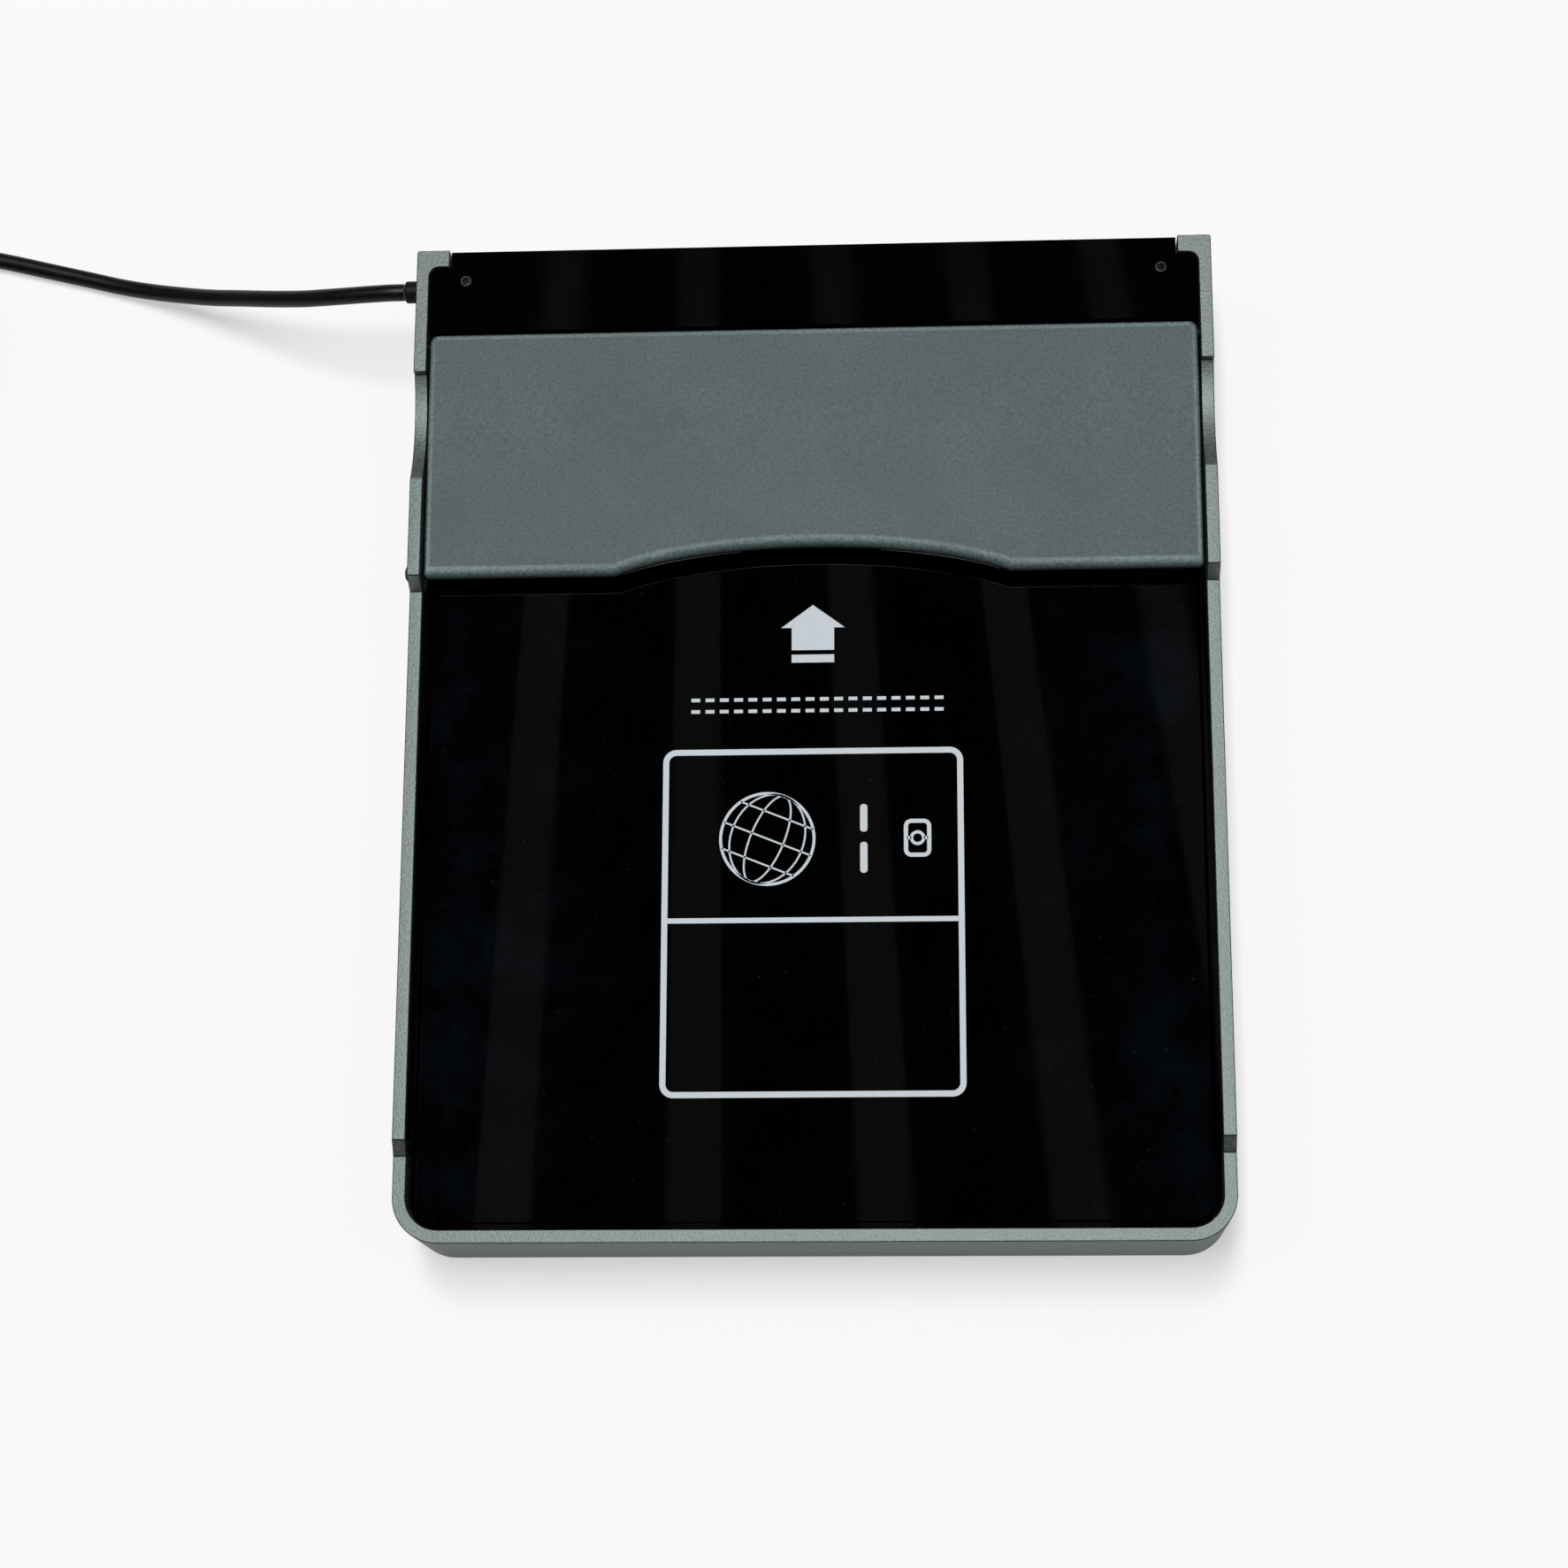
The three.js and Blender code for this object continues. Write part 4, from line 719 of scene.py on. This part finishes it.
# They get the material of their slot, fine rounded edges and smooth curved faces. Without a bevel are thin
# sheets and the nodes that a piece of this scene stands for.
NO_BEVEL = {"glass_tape", "antenna_board", "cord_tube", "cord_coil", "cover_shell"}
BEVEL_MM = {
    "outer_frame": 0.17,
    "inner_housing": 0.06,
    "document_glass": 0.05,
    "cover_lining": 0.2,
    "base_plate": 0.2,
    "usb_plug_body": 0.3,
    "coil_tie": 0.12,
}
OTHER_BEVEL_MM = 0.08
BEVEL_ANGLE = 35
FLAT_ANGLE = 0.5
WELD_DISTANCE = 1e-6
NORMAL_WEIGHT = 90


def drop_own_normals(node):
    with bpy.context.temp_override(object=node, active_object=node, selected_objects=[node]):
        bpy.ops.mesh.customdata_custom_splitnormals_clear()


def merge_flat_faces(node):
    weld = node.modifiers.new("weld", "WELD")
    weld.merge_threshold = WELD_DISTANCE
    flat = node.modifiers.new("flat", "DECIMATE")
    flat.decimate_type = "DISSOLVE"
    flat.angle_limit = math.radians(FLAT_ANGLE)


def round_edges(name, node):
    """Bevels in the node's last material, which on the frame is darker as painted shade along its edges. The
    frame's aren't clamped, because clamping would leave none.
    """
    edge = node.modifiers.new("edge", "BEVEL")
    edge.width = BEVEL_MM.get(name, OTHER_BEVEL_MM) * MM
    edge.segments = 2
    edge.limit_method = "ANGLE"
    edge.angle_limit = math.radians(BEVEL_ANGLE)
    edge.miter_outer = "MITER_ARC"
    edge.use_clamp_overlap = name != "outer_frame"
    edge.material = len(node.data.materials) - 1


def dress_nodes():
    slots = {entry["node"]: entry["material_slot"] for entry in frame["record"]["subparts"]}
    for name, node in frame["nodes"].items():
        drop_own_normals(node)
        node.data.materials.clear()
        node.data.materials.append(OWN_MATERIALS.get(name) or SLOT_MATERIALS[slots[name]])
        # The frame's bevels take a darker material, as painted shade along its edges
        if name == "outer_frame":
            node.data.materials.append(ANODISED_PAINTED_EDGE_SHADE)
        node.data.polygons.foreach_set("use_smooth", [True] * len(node.data.polygons))
        merge_flat_faces(node)
        if name not in NO_BEVEL:
            round_edges(name, node)
        normal = node.modifiers.new("normal", "WEIGHTED_NORMAL")
        normal.keep_sharp = True
        normal.weight = NORMAL_WEIGHT


# Cover

# In millimetres: a plate whose front edge, the nose, is one round over its whole height and has an arch in
# it, with small rounds at the other edges and the hinge barrel below the rear one. The plate is
# COVER_FRONT_RISE thick at the front and thicker by COVER_SLOPE at the rear.
COVER_FRONT = cover_low.y / MM
COVER_REAR = cover_high.y / MM
COVER_HALF = (cover_high.x - cover_low.x) / 2 / MM
ARCH_HALF_WIDTH = 38
ARCH_DEPTH = 5.3
ARCH_RADIUS = 45
ARCH_STEPS = 60
COVER_CORNER = 1.7
COVER_FRONT_CORNER = 0.9
SMALLEST_CORNER = 0.02
CORNER_STEPS = 8
COVER_SLOPE = 1.0
COVER_FRONT_RISE = 1.7
NOSE_RUN = 1.9
EDGE_ROUND = 0.8
ROUND_STEPS = 12
SHELL_BOTTOM = 28.0
SHARP_ANGLE = 40
BARREL_RADIUS = 1.65
BARREL_INSET = 0.6
BARREL_SIDES = 40
PIVOT_BEFORE_REAR = 2.0

# Painted light on the rounds of the cover's paint: how much lighter it is made at the sides, at the nose and
# at the sides' rear ends, as a painted highlight. It gets lighter between the RIM_ANGLES of the nose and
# fades over the insets of RIM_RINGS. RIM_SIDE is how near to a side an edge counts as the side's, and
# REAR_FADE where a side fades before the rear edge. NOSE_DARK is the tone of the painted shade at the foot of
# nose and sides, which ends between the NOSE_DARK_ANGLES.
RIM_PAINTED_HIGHLIGHT = 1.3
NOSE_PAINTED_HIGHLIGHT = 0.85
REAR_RIM_PAINTED_HIGHLIGHT = 0.25
RIM_ANGLES = (40, 80)
RIM_RINGS = (0.08, 0.22, 0.5)
RIM_SIDE = 1.5
REAR_FADE = (3, 1)
NOSE_DARK = 0.2
NOSE_DARK_ANGLES = (5, 50)

# Painted highlight lines under the flanks of the arch: their reach from the middle, their place ahead of the
# shell's edge and below it, and their thickness at the ends as a share
LINING_LINE = (13, 37)
LINING_LINE_RADIUS = 0.07
LINING_LINE_AHEAD = 0.02
LINING_LINE_BELOW = 0.05
LINING_LINE_END = 0.25


def arch_points():
    """The front edge from left to right through the arch: x, y and the outward direction."""
    end = math.acos(ARCH_HALF_WIDTH / ARCH_RADIUS)
    height = ARCH_DEPTH / (1 - math.sin(end))
    centre = COVER_FRONT - height * math.sin(end)
    points = []
    for i in range(ARCH_STEPS + 1):
        angle = math.pi - end + (2 * end - math.pi) * i / ARCH_STEPS
        x = ARCH_RADIUS * math.cos(angle)
        y = centre + height * math.sin(angle)
        out = -Vector((math.cos(angle) / ARCH_RADIUS, math.sin(angle) / height)).normalized()
        points.append((x, y, out))
    # At its ends the arch meets the straight edge, and the direction lies between the two
    for i in (0, -1):
        x, y, out = points[i]
        points[i] = (x, y, (out + Vector((0, -1))).normalized())
    return points


def corner_points(side, front_corner, start, nose_inset, side_inset):
    """One corner of the cover's outline, moved in by the nose's inset in Y and the side's in X."""
    radius = COVER_FRONT_CORNER if front_corner else COVER_CORNER
    inset_y = nose_inset if front_corner else side_inset
    x = side * (COVER_HALF - max(radius, side_inset))
    reach = max(radius, inset_y)
    y = COVER_FRONT + reach if front_corner else COVER_REAR - reach
    radius_x = max(radius - side_inset, SMALLEST_CORNER)
    radius_y = max(radius - inset_y, SMALLEST_CORNER)
    return quarter(x, y, radius_x, radius_y, start, CORNER_STEPS)


def cover_row(nose_inset, side_inset, height_at):
    """The cover's outline moved in, each point with its height: height_at(y, share of the nose's round)."""
    points = []
    for x, y, out in arch_points():
        inner_y = y - out.y * nose_inset
        points.append((x - out.x * nose_inset, inner_y, height_at(inner_y, 1)))
    corners = [(1, True, -90), (1, False, 0), (-1, False, 90), (-1, True, 180)]
    for side, front_corner, start in corners:
        corner = corner_points(side, front_corner, start, nose_inset, side_inset)
        for i, (x, y) in enumerate(corner):
            share = 0
            if front_corner:
                turned = i / CORNER_STEPS
                share = 1 - turned if side > 0 else turned
            points.append((x, y, height_at(y, share)))
    return points


def level_row(nose_angle, side_angle, inset):
    """The cover's outline at one level of its rounds."""
    nose = math.radians(nose_angle)
    side = math.radians(side_angle)

    def height_at(y, share):
        slope = COVER_SLOPE * (y - COVER_FRONT) / (COVER_REAR - COVER_FRONT)
        top = SHELL_BOTTOM + COVER_FRONT_RISE + slope
        by_nose = SHELL_BOTTOM + (top - SHELL_BOTTOM) * math.sin(nose)
        by_side = top - EDGE_ROUND * (1 - math.sin(side))
        return share * by_nose + (1 - share) * by_side

    nose_inset = NOSE_RUN * (1 - math.cos(nose)) + inset
    side_inset = EDGE_ROUND * (1 - math.cos(side)) + inset
    return cover_row(nose_inset, side_inset, height_at)


def painted_light_and_shade_tone(place, nose_angle, inset):
    """What the paint is scaled by: more along the rounded edges as a painted highlight, less at their foot as
    painted shade.
    """
    light = smoothstep(nose_angle, *RIM_ANGLES) * (1 - smoothstep(inset, 0, RIM_RINGS[-1]))
    if abs(place.x - MIDDLE_X) > (cover_high.x - cover_low.x) / 2 - RIM_SIDE * MM:
        behind = smoothstep(place.y / MM, COVER_REAR - REAR_FADE[0], COVER_REAR - REAR_FADE[1])
        lighter = RIM_PAINTED_HIGHLIGHT - behind * (RIM_PAINTED_HIGHLIGHT - REAR_RIM_PAINTED_HIGHLIGHT)
    else:
        lighter = NOSE_PAINTED_HIGHLIGHT
    return (1 + light * lighter) * (NOSE_DARK + (1 - NOSE_DARK) * smoothstep(nose_angle, *NOSE_DARK_ANGLES))


def round_levels():
    """Levels of the rounds from low to high: angle on the nose, angle on the sides, inset beyond both."""
    levels = []
    for k in range(1, ROUND_STEPS + 1):
        levels.append((90 * k / ROUND_STEPS, 90 * (k - 1) / (ROUND_STEPS - 1), 0))
    return levels + [(90, 90, inset) for inset in RIM_RINGS]


def add_plate(shape, painted_light_and_shade):
    """The cover's plate in rings from its bottom up its rounds to its top."""
    rings = [[shape.verts.new(at(*point)) for point in cover_row(0, 0, lambda y, share: SHELL_BOTTOM)]]
    for nose_angle, side_angle, inset in round_levels():
        rings.append([shape.verts.new(at(*point)) for point in level_row(nose_angle, side_angle, inset)])
        # Each vertex of the rounds gets its painted highlight or painted shade
        for vertex in rings[-1]:
            vertex[painted_light_and_shade] = painted_light_and_shade_tone(vertex.co, nose_angle, inset)
    join_rings(shape, rings)
    shape.faces.new(rings[-1])
    shape.faces.new(list(reversed(rings[0])))


def add_barrel(shape, painted_light_and_shade):
    """The hinge barrel, as wide as the cover less BARREL_INSET at each end."""
    y = COVER_REAR - PIVOT_BEFORE_REAR
    z = cover_low.z / MM + BARREL_RADIUS
    ends = []
    for x in (BARREL_INSET - COVER_HALF, COVER_HALF - BARREL_INSET):
        outline = circle(BARREL_RADIUS, BARREL_SIDES)
        ends.append([shape.verts.new(at(x, y + behind, z + up)) for behind, up in outline])
    # The barrel's paint is left as it is, with no painted highlight or shade
    for vertex in ends[0] + ends[1]:
        vertex[painted_light_and_shade] = 1
    join_rings(shape, ends)
    shape.faces.new(ends[0])
    shape.faces.new(list(reversed(ends[1])))


def make_cover():
    shape = bmesh.new()
    painted_light_and_shade = shape.verts.layers.float.new("painted_light_and_shade")
    add_plate(shape, painted_light_and_shade)
    add_barrel(shape, painted_light_and_shade)
    plate = shape_object(shape, "cover_plate", COVER_PAINT, "cover", SHARP_ANGLE)
    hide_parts("cover_shell")


def make_lining_painted_highlights():
    """The lining's polished edge under both flanks of the arch, as a thin tube coloured light: a painted
    highlight of that edge.
    """
    height = SHELL_BOTTOM - LINING_LINE_BELOW
    for word, side in (("left", -1), ("right", 1)):
        name = f"lining_painted_highlight_{word}"
        outline = [(x, y) for x, y, _ in arch_points() if LINING_LINE[0] < side * x < LINING_LINE[1]]
        points = [at(x, y - LINING_LINE_AHEAD, height) for x, y in outline]
        line = tube(name, points, LINING_LINE_RADIUS, resolution=2)
        for i, place in enumerate(line.splines[0].points):
            swell = math.sin(math.pi * i / (len(points) - 1))
            place.radius = LINING_LINE_END + (1 - LINING_LINE_END) * swell
        new_object(name, line, LINING_PAINTED_HIGHLIGHT, "cover")


# Print on the glass

# In millimetres: thin raised ink, made of closed flat plates
INK_HEIGHT = 0.03
ARROW_TIP = 25.6
ARROW_SHOULDER = 21
ARROW_FOOT = 16.5
ARROW_HALF_WIDTH = 6.15
ARROW_STEM_HALF = 4.1
ARROW_BAR = (14, 15.6)
DASH_ROWS = (4.4, 6.7)
DASH_COUNT = 18
DASH_FIRST = -23.4
DASH_STEP = 2.75
DASH_LENGTH = 1.7
DASH_HALF_HEIGHT = 0.35
PASSPORT_HALF_WIDTH = 28.1
PASSPORT_FRONT = -69.8
PASSPORT_REAR = -3.7
PASSPORT_CORNER = 2
PASSPORT_LINE = 1.15
FOLD_HALF_WIDTH = 27.5
FOLD_PLACE = -36.6
FOLD_LINE = 1.0
GLOBE_MIDDLE = (-8.65, -20.8)
GLOBE_RADIUS = 8.9
GLOBE_TILT = -22
GLOBE_RIM_LINE = 0.55
GLOBE_LINE = 0.34
GLOBE_SIDES = 64
MERIDIAN_WIDTHS = (0.36, 0.78)
MERIDIAN_STEPS = 24
PARALLEL_LEVELS = (-0.55, 0, 0.55)
TITLE_BAR_X = (9.0, 10.4)
TITLE_BARS = ((-27.6, -21.6), (-19.6, -14.2))
TITLE_BAR_CORNER = 0.6
CHIP_MIDDLE = (19.9, -20.9)
CHIP_HALF_SIZE = (2.2, 3.3)
CHIP_CORNER = 1.0
CHIP_EDGE_LINE = 0.8
CHIP_LINE = 0.6
CHIP_EYE_RADIUS = 1.15
CHIP_EYE_SIDES = 20
CHIP_LEAD = (1.2, 2.0)


def rectangle(x0, x1, y0, y1):
    return [(x0, y0), (x1, y0), (x1, y1), (x0, y1)]


def strip(points, width, closed=False):
    """Quads of one width along a line of points."""
    count = len(points)
    sides = []
    for i, point in enumerate(points):
        before = points[(i - 1) % count] if closed or i > 0 else point
        after = points[(i + 1) % count] if closed or i + 1 < count else point
        ahead = (Vector(after) - Vector(before)).normalized()
        side = Vector((-ahead.y, ahead.x)) * width / 2
        sides.append((Vector(point) + side, Vector(point) - side))
    quads = []
    for i in range(count if closed else count - 1):
        a, b = sides[i], sides[(i + 1) % count]
        quads.append([a[0], a[1], b[1], b[0]])
    return quads


def ink(name, outlines):
    """Flat plates from outlines on the glass, as one piece."""
    shape = bmesh.new()
    for outline in outlines:
        rings = []
        for height in (glass_high.z / MM, glass_high.z / MM + INK_HEIGHT):
            rings.append([shape.verts.new(at(x, y, height)) for x, y in outline])
        join_rings(shape, rings)
        for ring in rings:
            shape.faces.new(ring)
    shape_object(shape, name, PRINT_SILVER, "reader")


def arrow_outlines():
    head = [
        (0, ARROW_TIP),
        (-ARROW_HALF_WIDTH, ARROW_SHOULDER),
        (-ARROW_STEM_HALF, ARROW_SHOULDER),
        (-ARROW_STEM_HALF, ARROW_FOOT),
        (ARROW_STEM_HALF, ARROW_FOOT),
        (ARROW_STEM_HALF, ARROW_SHOULDER),
        (ARROW_HALF_WIDTH, ARROW_SHOULDER),
    ]
    return [head, rectangle(-ARROW_STEM_HALF, ARROW_STEM_HALF, *ARROW_BAR)]


def dashes():
    """The two code lines of a passport, as plain dashes."""
    outlines = []
    for y in DASH_ROWS:
        for i in range(DASH_COUNT):
            x = DASH_FIRST + i * DASH_STEP
            outlines.append(rectangle(x, x + DASH_LENGTH, y - DASH_HALF_HEIGHT, y + DASH_HALF_HEIGHT))
    return outlines


def globe_lines():
    """A plain globe seen from the side: rim, meridians and parallels, turned by its tilt."""
    turn = math.radians(GLOBE_TILT)

    def spun(points):
        return [(
            GLOBE_MIDDLE[0] + x * math.cos(turn) - y * math.sin(turn),
            GLOBE_MIDDLE[1] + x * math.sin(turn) + y * math.cos(turn),
        ) for x, y in points]

    quads = strip(spun(circle(GLOBE_RADIUS, GLOBE_SIDES)), GLOBE_RIM_LINE, closed=True)
    angles = [math.pi * (i / MERIDIAN_STEPS - 0.5) for i in range(MERIDIAN_STEPS + 1)]
    for width in MERIDIAN_WIDTHS:
        for reach in (-width * GLOBE_RADIUS, width * GLOBE_RADIUS):
            half = [(reach * math.cos(angle), GLOBE_RADIUS * math.sin(angle)) for angle in angles]
            quads += strip(spun(half), GLOBE_LINE)
    for level in PARALLEL_LEVELS:
        reach = math.sqrt(1 - level * level) * GLOBE_RADIUS
        height = level * GLOBE_RADIUS
        quads += strip(spun([(-reach, height), (reach, height)]), GLOBE_LINE)
    return quads


def chip_lines():
    """The sign of a chip: a rounded rectangle, a ring in its middle and a lead to each side."""
    x, y = CHIP_MIDDLE
    half_x, half_y = CHIP_HALF_SIZE
    edge = rounded_box(x - half_x, x + half_x, y - half_y, y + half_y, CHIP_CORNER, steps=5)
    eye = [(x + across, y + along) for across, along in circle(CHIP_EYE_RADIUS, CHIP_EYE_SIDES)]
    quads = strip(edge, CHIP_EDGE_LINE, closed=True) + strip(eye, CHIP_LINE, closed=True)
    near, far = CHIP_LEAD
    quads += strip([(x - far, y), (x - near, y)], CHIP_LINE)
    quads += strip([(x + near, y), (x + far, y)], CHIP_LINE)
    return quads


def make_print():
    ink("print_arrow", arrow_outlines())
    ink("print_code_lines", dashes())
    passport = rounded_box(
        -PASSPORT_HALF_WIDTH, PASSPORT_HALF_WIDTH, PASSPORT_FRONT, PASSPORT_REAR, PASSPORT_CORNER,
    )
    ink("print_passport_outline", strip(passport, PASSPORT_LINE, closed=True))
    fold = [(-FOLD_HALF_WIDTH, FOLD_PLACE), (FOLD_HALF_WIDTH, FOLD_PLACE)]
    ink("print_passport_fold", strip(fold, FOLD_LINE))
    ink("print_globe", globe_lines())
    bars = [rounded_box(*TITLE_BAR_X, *bar, TITLE_BAR_CORNER, steps=4) for bar in TITLE_BARS]
    ink("print_title_bars", bars)
    ink("print_chip", chip_lines())


# Rims round the indicator lenses

# Radius and height over the housing, in millimetres
RING_PROFILE = ((0.72, 0.0), (0.80, 0.05), (1.0, 0.05), (1.12, 0.0))
RING_SIDES = 40


def make_lens_rings():
    for word in ("left", "right"):
        low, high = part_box(f"indicator_lens_{word}")
        middle = (low + high) / 2
        shape = bmesh.new()
        rings = []
        for radius, rise in RING_PROFILE:
            rings.append([
                shape.verts.new((middle.x + x * MM, middle.y + y * MM, housing_high.z + rise * MM))
                for x, y in circle(radius, RING_SIDES)
            ])
        join_rings(shape, rings + rings[:1])
        shape_object(shape, f"indicator_ring_{word}", RING, "reader")


# Base screws

# In millimetres: a plate with a cross-shaped hole on each head, as its cross recess
CROSS_ARM = 1.7
CROSS_HALF_WIDTH = 0.42
HEAD_PLATE = 0.25
HEAD_ROUND = 0.15
HEAD_SIDES = 40


def cross_radius(angle):
    """Distance from the middle of the cross to its outline in one direction."""
    along = max(abs(math.cos(angle)), abs(math.sin(angle)))
    across = min(abs(math.cos(angle)), abs(math.sin(angle)))
    if CROSS_ARM * across < CROSS_HALF_WIDTH * along:
        return CROSS_ARM / along
    return CROSS_HALF_WIDTH / across


def head_angles():
    """Even directions round the head, and those of the cross's corners."""
    angles = [2 * math.pi * i / HEAD_SIDES for i in range(HEAD_SIDES)]
    for corner in (math.atan2(CROSS_HALF_WIDTH, CROSS_ARM), math.atan2(CROSS_ARM, CROSS_HALF_WIDTH)):
        angles += [corner + i * math.pi / 2 for i in range(4)]
    return sorted(angles)


def make_screw_head(name):
    low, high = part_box(name)
    middle = (low + high) / 2
    radius = (high.x - low.x) / 2 / MM
    angles = head_angles()
    edge = [radius] * len(angles)
    rounded = [radius - HEAD_ROUND] * len(angles)
    cross = [cross_radius(angle) for angle in angles]
    levels = [
        (edge, 0),
        (edge, HEAD_PLATE - HEAD_ROUND),
        (rounded, HEAD_PLATE),
        (cross, HEAD_PLATE),
        (cross, 0),
    ]
    shape = bmesh.new()
    rings = []
    for distances, drop in levels:
        rings.append([shape.verts.new((
            middle.x + distance * math.cos(angle) * MM,
            middle.y + distance * math.sin(angle) * MM,
            low.z - drop * MM,
        )) for distance, angle in zip(distances, angles)])
    join_rings(shape, rings + rings[:1])
    shape_object(shape, f"{name}_head", STEEL, "reader")


def make_screw_heads():
    for name in sorted(frame["nodes"]):
        if name.startswith("base_screw"):
            make_screw_head(name)


# The making, with the camera and the cord before the looks of the reader

make_camera()
make_lamps()
make_world()
make_floor()
make_cord()
dress_nodes()
make_cover()
make_lining_painted_highlights()
make_print()
make_lens_rings()
make_screw_heads()
